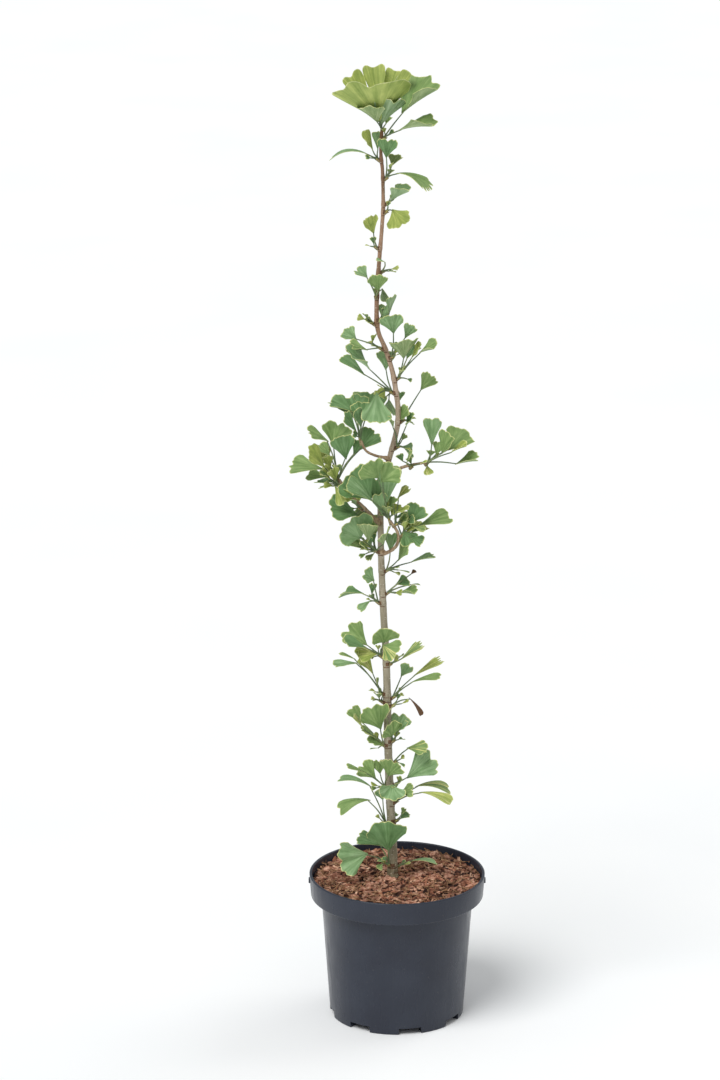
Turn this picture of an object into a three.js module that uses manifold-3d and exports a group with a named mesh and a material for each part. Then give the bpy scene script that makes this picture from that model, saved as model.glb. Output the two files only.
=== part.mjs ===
// A young ginkgo in its nursery container: the pot, the potting bark, one slender stem with
// its boughs and twigs, and fan-shaped leaves that stand in clusters on short spurs.
// Millimetres, +Z up, +X to the right, +Y to the back. The origin is the middle of the
// pot's underside.
import * as THREE from "three";
import { mergeVertices } from "three/addons/utils/BufferGeometryUtils.js";
import Module from "manifold-3d";

// ---- Driving dimensions ----------------------------------------------------------------

const CLEARANCE = 0.3; // between pieces that touch on the real plant

// Container: thin-walled, stepped out to a deep collar, standing on a ring of feet.
const POT_HEIGHT = 155;
const POT_WALL = 2;
const RIM_RADIUS = 92.3;
const COLLAR_FOOT_RADIUS = 90.6;
const COLLAR_HEIGHT = 24;
const BODY_TOP_RADIUS = 79.5;
const BODY_FOOT_RADIUS = 70.5;
const UNDERSIDE_RISE = 7; // the underside is raised between the middle pad and the feet
const MIDDLE_PAD_RADIUS = 28;
const FOOT_RING_WIDTH = 11;
const NOTCHES = 8;
const NOTCH_WIDTH = 24;
const NOTCH_HEIGHT = 7;
const NOTCH_TURN = 11; // degrees from +X to the first notch
const DRAIN_RADIUS = 5;
const DRAIN_CIRCLE_RADIUS = 44;
const LUG = { width: 6, height: 5, reach: 1.6, below_rim: 9 };
const POT_LIP = 1.5; // rounding of the rim and of the foot
const PAD_SLOPE = 3; // run of the slopes between the pads and the raised underside
const ROUND = 32; // facets round the container
const DRAIN_SIDES = 8;

// Potting bark: level round the stem, falling a little to the wall.
const SOIL_MIDDLE = 150;
const SOIL_EDGE = 146.5;
const SOIL_LEVEL_RADIUS = 22;
const SOIL_CLEARANCE = 0.5; // between the bark and the inside of the container

// Stem: its middle line from the flat cut on the bark up to the tip.
const STEM = {
  name: "trunk",
  foot_radius: 4.7,
  tip_radius: 1.6,
  flare: 2.1,
  flare_height: 6,
  sides: 8,
  steps: 28,
  path: [
    [-4.5, 0, 150],
    [-5, -1, 158],
    [-4.5, -3, 182],
    [-7.5, -5, 236],
    [-9.8, -7, 300],
    [-11.6, -8, 384],
    [-15.3, -8, 455],
    [-17.4, -8, 510],
    [-17.5, -6, 568],
    [-10.4, -8, 603],
    [-0.5, -12, 650],
    [-4.5, -10, 692],
    [-12.7, -8, 722],
    [-21.5, -8, 747],
    [-21.3, -8, 792],
    [-16.2, -8, 862],
    [-16.4, -8, 902],
    [-18.3, -8, 928],
    [-17.3, -8, 947],
  ],
};

// Side limbs: each starts inside the stem, where it is cut to the stem's surface.
const SIDE_LIMBS = [
  {
    name: "left_bough",
    foot_radius: 2.2,
    tip_radius: 1.4,
    path: [[-18, -8, 540], [-24, -11, 546], [-38, -13, 561], [-49, -14, 571], [-60, -14, 588]],
  },
  {
    name: "right_bough",
    foot_radius: 1.9,
    tip_radius: 1.3,
    path: [[-12, -8, 593], [-4, -12, 597], [8, -13, 602], [28, -13, 606]],
  },
  {
    name: "looping_twig",
    foot_radius: 1.9,
    tip_radius: 1.4,
    path: [[-17, -9, 510], [-12, -17, 511], [-2, -19, 519], [0, -17, 531], [-8, -17, 545]],
  },
  {
    name: "upper_left_twig",
    foot_radius: 1.5,
    tip_radius: 1.2,
    path: [[-9, -9, 608], [-14, -13, 611], [-24, -15, 614], [-33, -15, 619], [-38, -14, 629]],
  },
];
const SIDE_LIMB_SIDES = 6;
const SIDE_LIMB_STEPS = 9;

// Spur shoots and leaves.
const SPUR_LENGTH = 3.2;
const SPUR_RADIUS = 1.6;
const SPUR_SIDES = 5;
const STALK_RADIUS = 1;
const STALK_TAPER = 0.4; // share of its radius that a stalk loses on its way to the blade
const STALK_ARCH = 0.05; // how high a stalk bows over its chord, share of its length
const BLADE_THICKNESS = 0.7;
const BLADE_ROOT_REACH = 1.4; // where the blade starts to spread
const STALK_SINK = 0.12; // share of the blade's length that its stalk runs into it
const FACET_PAIR_BLADE = 18; // a blade has two facets across for each such length, up to six
const SMALLEST_EDGE = 0.4; // shorter edges, left where leaves cross, are merged away

// The front view is taken by an eye at this height and this far from the plane y = FRONT.
// A leaf that leans out of the plane slides along the line of sight.
const EYE_HEIGHT = 1757;
const EYE_DISTANCE = 4101;
const FRONT = -8;

// A blade is rolled on a cone about its stalk's end. Facing leaves are the flattest.
const CONE = [40, 68]; // half angle of that cone for facing 0 and 1, degrees
const FACING_POWER = 1.6; // how slowly the upper side turns from the sky as facing grows

// A leaf's own variation, dealt out by its spur's seed.
const CLEFT = [0.02, 0.2]; // depth of the cleft in the middle of the margin, share of the blade
const CURL = [12, 26]; // bend of the blade along its length, degrees
const CLEFT_SPREAD = 0.14; // width of that cleft, share of a broad half fan
const BROAD_FAN = 35; // degrees; a narrower fan is smoother and flatter in proportion
const SHOULDER = 0.08; // how much less the blade reaches at its two sides, share
const RIPPLE = 0.03; // height of the margin's ripples, share of the blade
const RIPPLE_TURN = 9; // radians of ripple over half of a broad fan
const RUFFLE = 0.05; // how far the margin sways up and down, share of the blade
const RUFFLE_TURN = 6; // radians of sway over half of a broad fan

// A leaf that would touch an earlier one leans by one of these angles more, if that clears it.
const SIDESTEPS = [0, -7, 7, -14, 14, -21, 21, -28, 28];

// The foliage, from the tip down. Each spur sits on a limb, at a height of the stem in
// millimetres or at a share of a side limb's length, heads to a compass angle (0 right,
// 90 back, 180 left, 270 front) and carries the leaves listed. A leaf is [root across, root
// up, tip across, tip up, fan, facing, lean, curl]. The first four are where its blade starts
// and ends in the front view, in millimetres. Fan is half the angle that the blade spreads
// over. Facing turns its upper side from the sky (0) to the front (1) or the back (-1). Lean
// is how far it stands back from the front view's plane, below 0 for forward, and curl how
// far the blade bends down along its length; without a curl it takes one from the seed.
const TIP = 1;
const FOLIAGE = [
  [
    "trunk", 947, 90,
    [
      [-20, 956, -34, 996, 60, -0.6, -36, 10],
      [-21, 960, -50, 1006, 14, 0.75, 12, 12],
      [-19, 960, -26, 1015, 14, 0.75, 24, 12],
      [-18, 960, -4, 1011, 10, 0.7, 30, 12],
      [-17, 962, 9, 1008, 8, 0.6, 15, 12],
      [-21, 955, -36, 971, 48, -0.3, -36, 8],
      [-18, 953, -4, 979, 38, -0.3, -30, 8],
    ],
  ],
  ["trunk", 941, 320, [[2, 964, 39, 999, 62, 0.22, 12, 10], [-2, 947, 36, 953, 44, 0.15, -18, 20]]],
  [
    "trunk", 919, 190,
    [
      [-29, 922, -69, 918, 16, 0.1, 12, 76],
      [-26, 927, -37, 944, 44, 0.5, -22, 12],
      [-21, 926, -23, 947, 16, 0.5, 15, 12],
    ],
  ],
  [
    "trunk", 900, 335,
    [
      [-13, 919, -11, 940, 34, 0.75, -12, 10],
      [-8, 911, 1, 923, 50, 0.2, 22, 12],
      [-4, 904, 31, 886, 20, 0.25, -18, 70],
    ],
  ],
  ["trunk", 874, 5, [[-9, 876, 12, 888, 66, 0, -9, 8]]],
  ["trunk", 866, 330, [[-7, 868, 4, 850, 50, 0.85, -15, 30]]],
  ["trunk", 829, 190, [[-25, 842, -31, 860, 34, 0.6, -15, 10]]],
  ["trunk", 804, 10, [[-13, 813, -22, 815, 42, 0.3, -30, 15]]],
  [
    "trunk", 779, 255,
    [
      [-21, 783, -22, 801, 42, 0.9, -8, 12],
      [-31, 797, -44, 806, 50, 0.4, 18, 8],
      [-17, 787, -14, 772, 20, 0.3, 30, 30],
    ],
  ],
  [
    "trunk", 755, 320,
    [
      [-16, 751, -13, 770, 26, 0.5, 22, 10],
      [-10, 758, -6, 779, 20, 0.3, -22, 12],
    ],
  ],
  ["trunk", 751, 188, [[-25, 751, -34, 753, 56, 0.4, -15, 8]]],
  [
    "trunk", 725, 190,
    [
      [-42, 733, -57, 742, 48, 0.5, 15, 12],
      [-31, 722, -49, 727, 42, 0.4, -22, 14],
      [-27, 729, -24, 739, 20, 0.3, -30, 10],
    ],
  ],
  [
    "trunk", 716, 325,
    [
      [-5, 739, -8, 760, 42, 0.95, -9, 10],
      [6, 734, 14, 749, 32, 0.7, 18, 12],
      [-4, 722, 0, 730, 42, 0.2, 58],
    ],
  ],
  [
    "trunk", 694, 0,
    [
      [20, 719, 39, 727, 48, 0.3, -21, 6],
      [5, 713, 8, 733, 42, 0.4, -36, 10],
      [8, 713, 19, 729, 42, 0.3, 24, 12],
      [-1, 696, 8, 704, 42, 0.3, -15, 14],
      [12, 712, 22, 727, 28, 0.5, -30, 12],
    ],
  ],
  [
    "trunk", 680, 195,
    [
      [-28, 701, -54, 721, 50, 0.3, -15, 14],
      [-33, 695, -58, 716, 22, 0.3, 21, 12],
      [-13, 701, -12, 723, 36, 0.5, 18, 10],
      [-22, 679, -23, 645, 34, 0.9, -18, 20],
      [-13, 671, -22, 681, 40, 0.5, 30, 12],
      [-10, 672, -8, 655, 28, 0.5, 36, 16],
    ],
  ],
  [
    "trunk", 650, 5,
    [
      [22, 680, 35, 697, 34, 0.65, 15, 8],
      [1, 649, 11, 661, 46, 0.5, -21, 10],
      [0, 667, 2, 680, 28, 0.5, 36, 14],
    ],
  ],
  [
    "trunk", 622, 355,
    [
      [7, 642, 16, 654, 52, 0.35, -18, 10],
      [4, 622, 15, 612, 50, 0.5, 21, 12],
      [-5, 640, -12, 654, 30, 0.4, -30, 12],
    ],
  ],
  [
    "upper_left_twig", TIP, 200,
    [
      [-46, 658, -71, 669, 44, 0.35, 12, 12],
      [-41, 647, -51, 675, 46, 0.5, 30, 14],
      [-33, 650, -28, 680, 42, 0.6, 36, 12],
      [-42, 636, -56, 654, 30, 0.5, -18, 10],
      [-37, 645, -38, 669, 36, 0.4, 18, 12],
      [-38, 640, -43, 660, 18, 0.6, -36, 12],
    ],
  ],
  [
    "left_bough", TIP, 180,
    [
      [-53, 607, -58, 633, 32, 0.85, -12, 10],
      [-67, 622, -60, 648, 48, 0.6, 18, 12],
      [-70, 626, -92, 637, 25, 0.5, -21, 12],
      [-40, 617, -21, 637, 42, 0.5, 15, 12],
      [-69, 611, -82, 624, 32, 0.5, 27, 12],
      [-46, 612, -38, 628, 30, 0.6, 24, 12],
    ],
  ],
  [
    "left_bough", 0.88, 195,
    [
      [-75, 597, -111, 602, 26, 0.5, 15, 16],
      [-74, 598, -92, 617, 34, 0.5, -18, 12],
      [-72, 600, -80, 622, 30, 0.4, 30, 12],
      [-65, 580, -53, 560, 26, 0.6, -33, 18],
      [-71, 589, -93, 592, 20, 0.7, 33, 10],
    ],
  ],
  [
    "left_bough", 0.4, 205,
    [
      [-40, 548, -71, 557, 38, 0.55, -18, 14],
      [-30, 552, -44, 544, 42, 0.6, 18, 12],
    ],
  ],
  [
    "trunk", 511, 195,
    [
      [-38, 523, -52, 544, 64, 0.75, -18, 16],
      [-32, 511, -50, 520, 32, 0.3, 21, 14],
      [-24, 508, -32, 500, 32, 0.3, -18, 12],
      [-24, 523, -24, 549, 22, 0.4, 30, 10],
      [-34, 524, -58, 523, 24, 0.5, 18, 20],
      [-30, 520, -32, 539, 30, 0.3, -36, 12],
      [-29, 508, -39, 518, 30, 0.4, -27, 12],
      [-15, 516, -11, 532, 40, 0.5, -36, 12],
    ],
  ],
  [
    "looping_twig", TIP, 270,
    [
      [-20, 587, -33, 604, 46, 0.9, -21, 12],
      [-27, 564, -51, 594, 40, 0.8, -9, 14],
      [-22, 558, -22, 590, 36, 0.7, 9, 12],
      [-13, 557, -8, 602, 19, 0.8, 0, 12],
      [-25, 562, -52, 584, 18, 0.6, -21, 16],
      [-16, 548, -20, 572, 26, 0.6, -3, 10],
      [-18, 583, -3, 601, 44, 0.85, -18, 12],
    ],
  ],
  [
    "right_bough", TIP, 0,
    [
      [34, 621, 35, 652, 23, 0.7, 18, 12],
      [50, 617, 74, 634, 58, 0.5, 15, 14],
      [44, 613, 53, 635, 40, 0.5, -15, 12],
      [57, 602, 82, 609, 46, 0.2, -12, 10],
      [29, 602, 31, 591, 34, 0.6, -30, 14],
      [52, 614, 68, 622, 44, 0.2, -27, 12],
      [38, 612, 45, 626, 40, 0.3, 21, 12],
    ],
  ],
  [
    "right_bough", 0.62, 300,
    [
      [8, 602, 14, 615, 36, 0.4, -18, 12],
      [5, 605, -1, 613, 40, 0.3, 21, 12],
    ],
  ],
  [
    "looping_twig", 0.93, 350,
    [
      [-1, 566, 12, 578, 34, 0.3, 15, 14],
      [-6, 560, 0, 565, 28, 0.4, -18, 12],
    ],
  ],
  [
    "looping_twig", 0.68, 350,
    [
      [11, 539, 24, 559, 42, 0.6, 15, 12],
      [20, 537, 54, 547, 25, 0.5, 18, 12],
      [12, 538, 27, 531, 26, 0.3, -21, 16],
      [5, 532, 14, 517, 48, 0.7, -15, 16],
      [-5, 544, 11, 551, 22, 0.3, 21, 12],
    ],
  ],
  [
    "trunk", 490, 0,
    [
      [0, 499, 12, 522, 36, 0.45, -15, 10],
      [11, 497, 39, 505, 24, 0.1, 12, 20],
      [-1, 490, 12, 487, 12, 0, -15, 16],
      [-8, 508, -6, 530, 24, 0.5, 36, 12],
    ],
  ],
  [
    "trunk", 466, 0,
    [
      [-3, 474, 12, 478, 40, 0.5, 15, 14],
      [0, 465, 20, 466, 42, 0.15, -18, 12],
      [13, 485, 19, 489, 40, 0.3, 12, 20],
      [12, 474, 23, 474, 14, 0, 21, 20],
    ],
  ],
  [
    "trunk", 456, 190,
    [
      [-24, 478, -36, 487, 52, 0.6, -15, 12],
      [-34, 464, -60, 462, 36, 0.05, 15, 36],
      [-27, 463, -25, 476, 26, 0.3, 21, 12],
      [-28, 457, -40, 446, 28, 0.4, -21, 20],
    ],
  ],
  [
    "trunk", 398, 200,
    [
      [-31, 408, -54, 427, 39, 0.65, 18, 12],
      [-31, 405, -56, 412, 34, 0.3, -15, 12],
      [-14, 411, -15, 427, 66, 0.6, -27, 12],
      [-16, 409, 0, 398, 46, 0.8, -36, 14],
      [-20, 399, -43, 397, 36, 0.5, -21, 18],
    ],
  ],
  ["trunk", 390, 320, [[2, 392, 27, 410, 20, 0.35, 12, 12]]],
  [
    "trunk", 357, 190,
    [
      [-40, 389, -66, 386, 25, 0.25, -15, 14],
      [-43, 393, -61, 400, 18, 0.1, 15, 12],
      [-25, 376, -42, 402, 28, 0.45, -9, 20],
    ],
  ],
  [
    "trunk", 352, 0,
    [
      [15, 374, 47, 394, 14, 0.4, 15, 10],
      [12, 367, 45, 374, 17, 0.3, -12, 30],
      [3, 374, 14, 387, 44, 0.4, 21, 8],
    ],
  ],
  ["trunk", 344, 335, [[11, 352, 25, 332, 12, 0.2, -12, 30]]],
  [
    "trunk", 348, 185,
    [
      [-15, 352, -21, 360, 44, 0.4, -15, 10],
      [-21, 349, -26, 348, 26, 0.2, 18, 12],
    ],
  ],
  [
    "trunk", 301, 215,
    [
      [-17, 316, -28, 343, 40, 0.9, -9, 12],
      [-35, 322, -49, 341, 26, 0.6, 18, 12],
      [-34, 315, -46, 331, 26, 0.4, -18, 12],
      [-21, 306, -38, 317, 22, 0.4, -15, 12],
      [-14, 298, -31, 304, 38, 0.4, -21, 16],
      [-19, 296, -29, 295, 10, 0, 18, 14],
    ],
  ],
  [
    "trunk", 305, 330,
    [
      [-1, 312, 2, 335, 50, 0.55, 15, 14],
      [0, 314, 11, 323, 34, 0.4, -18, 12],
      [-13, 328, -3, 344, 13, 0.3, -21, 10],
      [-6, 308, -9, 323, 50, 0.6, -33, 10],
    ],
  ],
  ["trunk", 281, 355, [[9, 296, 31, 294, 38, 0.5, -12, 14]]],
  ["trunk", 256, 5, [[9, 262, 38, 287, 30, 0.8, -6, 10]]],
  [
    "trunk", 254, 215,
    [
      [-22, 262, -39, 278, 40, 0.6, 12, 14],
      [-30, 267, -53, 276, 14, 0.3, -15, 14],
      [-18, 267, -20, 284, 42, 0.6, 24, 12],
      [-10, 265, -3, 282, 42, 0.8, -33, 14],
    ],
  ],
  ["trunk", 247, 290, [[-5, 256, -8, 237, 72, 0.8, -24, 24], [3, 247, 17, 250, 36, 0.7, -24, 14]]],
  ["trunk", 236, 5, [[18, 253, 56, 249, 18, 0.4, 12, 66], [22, 247, 57, 236, 16, 0.4, -15, 46]]],
  [
    "trunk", 212, 200,
    [
      [-27, 238, -62, 226, 16, 0.5, -12, 76],
      [-25, 251, -62, 262, 12, 0.3, 15, 66],
      [-15, 238, -18, 252, 36, 0.6, -9, 14],
    ],
  ],
  ["trunk", 216, 330, [[2, 217, 13, 223, 36, 0.3, 15, 14], [-8, 217, -1, 225, 38, 0.5, 30, 12]]],
  [
    "trunk", 166, 235,
    [
      [-9, 181, -13, 215, 44, 0.95, -6, 10],
      [-15, 187, -42, 199, 22, 0.6, 15, 12],
      [-30, 179, -62, 170, 42, 0.85, -15, 18],
      [-15, 168, -20, 161, 36, 0.6, -18, 16],
    ],
  ],
  ["trunk", 160, 40, [[13, 170, 42, 168, 15, 0.2, 9, 50]]],
];

// Leaf colours by height: yellow-green at the tip, deep green in the middle, lighter below.
const LEAF_COLOURS = [
  [0, 0x839d75],
  [330, 0x6a8550],
  [520, 0x4e7742],
  [760, 0x67864f],
  [930, 0x9ca851],
];

const material = (color, roughness) => new THREE.MeshStandardMaterial({ color, roughness, metalness: 0 });

// ---- Solids ----------------------------------------------------------------------------

const radians = THREE.MathUtils.degToRad;

const wasm = await Module();
wasm.setup();

function solidOf(geometry) {
  geometry.deleteAttribute("normal");
  geometry.deleteAttribute("uv");
  const merged = mergeVertices(geometry, 1e-4);
  return new wasm.Manifold(
    new wasm.Mesh({
      numProp: 3,
      vertProperties: merged.attributes.position.array,
      triVerts: new Uint32Array(merged.index.array),
    }),
  );
}

function meshOf(name, solid, look) {
  const { vertProperties, triVerts } = solid.getMesh();
  const geometry = new THREE.BufferGeometry();
  geometry.setAttribute("position", new THREE.BufferAttribute(vertProperties, 3));
  geometry.setIndex(new THREE.BufferAttribute(triVerts, 1));
  const mesh = new THREE.Mesh(geometry, look);
  mesh.name = name;
  return mesh;
}

const joined = (solids) => solids.reduce((all, next) => all.add(next));

// The largest body of a solid, without the scraps that a cut leaves.
const mainBody = (solid) =>
  solid.decompose().reduce((best, body) => (body.volume() > best.volume() ? body : best));

function moveVertices(geometry, place) {
  const position = geometry.attributes.position;
  for (let i = 0; i < position.count; i++) {
    const { x, y, z } = place(position.getX(i), position.getY(i), position.getZ(i));
    position.setXYZ(i, x, y, z);
  }
  return geometry;
}

// ---- Container and potting bark ----------------------------------------------------------

// A closed lathe about +Z from [radius, height] pairs that run from axis to axis.
function turned(profile) {
  const points = profile.map(([radius, height]) => new THREE.Vector2(radius, height));
  return solidOf(new THREE.LatheGeometry(points, ROUND).rotateX(Math.PI / 2));
}

const COLLAR_FOOT = POT_HEIGHT - COLLAR_HEIGHT;
const POT_FLOOR = UNDERSIDE_RISE + POT_WALL;

function makePot() {
  const ring = BODY_FOOT_RADIUS - FOOT_RING_WIDTH;
  const shell = turned([
    [0, 0],
    [MIDDLE_PAD_RADIUS, 0],
    [MIDDLE_PAD_RADIUS + PAD_SLOPE, UNDERSIDE_RISE],
    [ring - PAD_SLOPE, UNDERSIDE_RISE],
    [ring, 0],
    [BODY_FOOT_RADIUS - POT_LIP, 0],
    [BODY_FOOT_RADIUS, POT_LIP],
    [BODY_TOP_RADIUS, COLLAR_FOOT - POT_WALL],
    [COLLAR_FOOT_RADIUS, COLLAR_FOOT],
    [RIM_RADIUS, POT_HEIGHT - POT_LIP],
    [RIM_RADIUS - POT_LIP / 2, POT_HEIGHT],
    [RIM_RADIUS - POT_LIP * 2, POT_HEIGHT],
    [COLLAR_FOOT_RADIUS - POT_WALL, COLLAR_FOOT + POT_WALL],
    [BODY_TOP_RADIUS - POT_WALL, COLLAR_FOOT],
    [BODY_FOOT_RADIUS - POT_WALL, POT_FLOOR],
    [0, POT_FLOOR],
  ]);
  const cuts = [];
  for (let i = 0; i < NOTCHES; i++) {
    const turn = radians(NOTCH_TURN + (i * 360) / NOTCHES);
    const notch = new THREE.BoxGeometry(FOOT_RING_WIDTH * 3, NOTCH_WIDTH, NOTCH_HEIGHT * 2);
    notch.translate(BODY_FOOT_RADIUS, 0, 0).rotateZ(turn);
    const drain = new THREE.CylinderGeometry(DRAIN_RADIUS, DRAIN_RADIUS, POT_FLOOR * 3, DRAIN_SIDES);
    drain.rotateX(Math.PI / 2).translate(DRAIN_CIRCLE_RADIUS, 0, 0).rotateZ(turn);
    cuts.push(solidOf(notch), solidOf(drain));
  }
  const lugs = [-1, 1].map((side) => {
    const lug = new THREE.BoxGeometry(LUG.reach * 2, LUG.width, LUG.height);
    lug.translate(side * (RIM_RADIUS - LUG.reach / 2), 0, POT_HEIGHT - LUG.below_rim);
    return solidOf(lug);
  });
  return shell.subtract(joined(cuts)).add(joined(lugs));
}

function makeSoil() {
  const gap = POT_WALL + SOIL_CLEARANCE;
  const edge = COLLAR_FOOT_RADIUS - gap;
  return turned([
    [0, POT_FLOOR + SOIL_CLEARANCE],
    [BODY_FOOT_RADIUS - gap, POT_FLOOR + SOIL_CLEARANCE],
    [BODY_TOP_RADIUS - gap, COLLAR_FOOT + SOIL_CLEARANCE],
    [edge, COLLAR_FOOT + gap],
    [edge, SOIL_EDGE],
    [(edge + SOIL_LEVEL_RADIUS) / 2, (SOIL_EDGE + 2 * SOIL_MIDDLE) / 3],
    [SOIL_LEVEL_RADIUS, SOIL_MIDDLE],
    [0, SOIL_MIDDLE],
  ]);
}

// ---- Limbs -------------------------------------------------------------------------------

const vector = ([x, y, z]) => new THREE.Vector3(x, y, z);

function limbOf(shape) {
  const curve = new THREE.CatmullRomCurve3(shape.path.map(vector), false, "catmullrom", 0.5);
  return { ...shape, curve };
}

// A closed tapering tube along a curve; grow fattens it. A level tube keeps its rings flat.
function tube(curve, sides, steps, radiusAt, level) {
  const frames = curve.computeFrenetFrames(steps, false);
  const across = new THREE.Vector3(1, 0, 0);
  const away = new THREE.Vector3(0, -1, 0);
  const geometry = new THREE.CylinderGeometry(1, 1, 1, sides, steps);
  moveVertices(geometry, (x, y, z) => {
    const ring = Math.round((y + 0.5) * steps);
    const share = ring / steps;
    const centre = curve.getPointAt(share);
    const radius = radiusAt(share, centre);
    const u = level ? across : frames.normals[ring];
    const v = level ? away : frames.binormals[ring].clone().negate();
    return centre.addScaledVector(u, x * radius).addScaledVector(v, z * radius);
  });
  return solidOf(geometry);
}

const stem = limbOf(STEM);
const stemFoot = STEM.path[0][2];

function stemRadius(height) {
  const share = (height - stemFoot) / (STEM.path.at(-1)[2] - stemFoot);
  const flare = STEM.flare * Math.exp((stemFoot - height) / STEM.flare_height);
  return STEM.foot_radius + (STEM.tip_radius - STEM.foot_radius) * share + flare;
}

const limbRadius = (limb, share) =>
  limb.foot_radius + (limb.tip_radius - limb.foot_radius) * share;

function stemSolid(grow) {
  return tube(stem.curve, STEM.sides, STEM.steps, (_, at) => stemRadius(at.z) + grow, true);
}

function sideLimbSolid(limb, grow) {
  const radius = (share) => limbRadius(limb, share) + grow;
  return tube(limb.curve, SIDE_LIMB_SIDES, SIDE_LIMB_STEPS, radius, false);
}

// Where a spur leaves its limb: a point on the middle line, its way out and the limb's radius.
function spurSeat(limbName, at, heading) {
  if (limbName === STEM.name) {
    let low = 0;
    let high = 1;
    while (high - low > 1e-6) {
      const middle = (low + high) / 2;
      if (stem.curve.getPoint(middle).z < at) low = middle;
      else high = middle;
    }
    return { centre: stem.curve.getPoint(low), out: direction(heading, 0), radius: stemRadius(at) };
  }
  const limb = sideLimbs.find(({ name }) => name === limbName);
  const centre = limb.curve.getPointAt(at);
  if (at === TIP) return { centre, out: limb.curve.getTangentAt(1), radius: 0 };
  return { centre, out: direction(heading, 0), radius: limbRadius(limb, at) };
}

const sideLimbs = SIDE_LIMBS.map(limbOf);

// ---- Leaves ------------------------------------------------------------------------------

function direction(heading, rise) {
  const flat = Math.cos(radians(rise));
  return new THREE.Vector3(
    flat * Math.cos(radians(heading)),
    flat * Math.sin(radians(heading)),
    Math.sin(radians(rise)),
  );
}

// Draws between 0 and 1 that come out the same for the same seed.
function seeded(seed) {
  let state = seed >>> 0;
  return () => {
    state = (state + 0x6d2b79f5) >>> 0;
    let mixed = Math.imul(state ^ (state >>> 15), state | 1);
    mixed ^= mixed + Math.imul(mixed ^ (mixed >>> 7), mixed | 61);
    return ((mixed ^ (mixed >>> 14)) >>> 0) / 4294967296;
  };
}

// One leaf of a spur: the stalk's ends and the blade's frame and form.
function leafOf(foot, row, variation, sidestep) {
  const [rootAcross, rootUp, tipAcross, tipUp, fan, facing, lean, curl = variation.curl] = row;
  const slope = (EYE_HEIGHT - foot.z) / EYE_DISTANCE;
  const footUp = foot.z + slope * (foot.y - FRONT);
  // A step in the front view, leaned back along the line of sight.
  const inSpace = (sideStep, upStep) => {
    const depth = Math.hypot(sideStep, upStep) * Math.tan(radians(lean + sidestep));
    return new THREE.Vector3(sideStep, depth, upStep - slope * depth);
  };
  const root = foot.clone().add(inSpace(rootAcross - foot.x, rootUp - footUp));
  const chord = inSpace(tipAcross - rootAcross, tipUp - rootUp);
  const bow = radians(curl) / 2;
  const blade = (chord.length() * bow) / Math.sin(bow);
  chord.normalize();
  const toFront = Math.abs(facing) ** FACING_POWER;
  const rise = new THREE.Vector3(0, -Math.sign(facing) * toFront, 1 - toFront);
  rise.addScaledVector(chord, -rise.dot(chord)).normalize();
  const along = chord.clone().multiplyScalar(Math.cos(bow)).addScaledVector(rise, Math.sin(bow));
  const up = rise.clone().multiplyScalar(Math.cos(bow)).addScaledVector(chord, -Math.sin(bow));
  const across = new THREE.Vector3().crossVectors(along, up);
  const bend = foot.clone().lerp(root, 0.5);
  bend.z += STALK_ARCH * root.distanceTo(foot);
  const cone = radians(CONE[0] + (CONE[1] - CONE[0]) * Math.abs(facing));
  const form = { blade, cone, half: radians(fan), curl: 2 * bow };
  return { foot, bend, root, along, across, up, ...form, ...variation.rim };
}

function variationOf(draw) {
  const between = ([low, high]) => low + (high - low) * draw();
  const rim = { cleft: between(CLEFT), wave: 2 * Math.PI * draw() };
  return { rim, curl: between(CURL) };
}

// The share of its waves' height and number that a narrow fan keeps.
const waviness = (leaf) => Math.min(1, leaf.half / radians(BROAD_FAN));

// How far the wavy margin lies from the blade's root; side runs over the fan from -1 to 1.
function marginReach(leaf, side) {
  const spot = side * waviness(leaf);
  const cleft = leaf.cleft * Math.exp(-((spot / CLEFT_SPREAD) ** 2));
  const ripple = RIPPLE * Math.sin(RIPPLE_TURN * spot + leaf.wave);
  return leaf.blade * (1 - SHOULDER * side ** 4 + waviness(leaf) * (ripple - cleft));
}

// The point of the blade at a turn from its middle line, a reach from its root and a height
// above its middle layer: rolled on the leaf's cone, then curled down along its length.
function onBlade(leaf, turn, reach, above) {
  const wide = Math.sin(leaf.cone);
  const steep = Math.cos(leaf.cone);
  const roll = turn / wide;
  const rolled = 1 - Math.cos(roll);
  const share = reach / leaf.blade;
  const spot = (turn / leaf.half) * waviness(leaf);
  const sway = Math.sin(RUFFLE_TURN * spot + leaf.wave);
  const ruffle = RUFFLE * waviness(leaf) * leaf.blade * share * share * sway;
  const forward = reach * (1 - wide * wide * rolled) + above * wide * steep * rolled;
  const sideways = reach * wide * Math.sin(roll) - above * steep * Math.sin(roll);
  const lift = reach * wide * steep * rolled + above * (Math.cos(roll) + wide * wide * rolled);
  const bent = leaf.blade / leaf.curl;
  return leaf.root
    .clone()
    .addScaledVector(leaf.along, bent * Math.sin(forward / bent))
    .addScaledVector(leaf.across, sideways)
    .addScaledVector(leaf.up, lift + ruffle - bent * (1 - Math.cos(forward / bent)));
}

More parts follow.
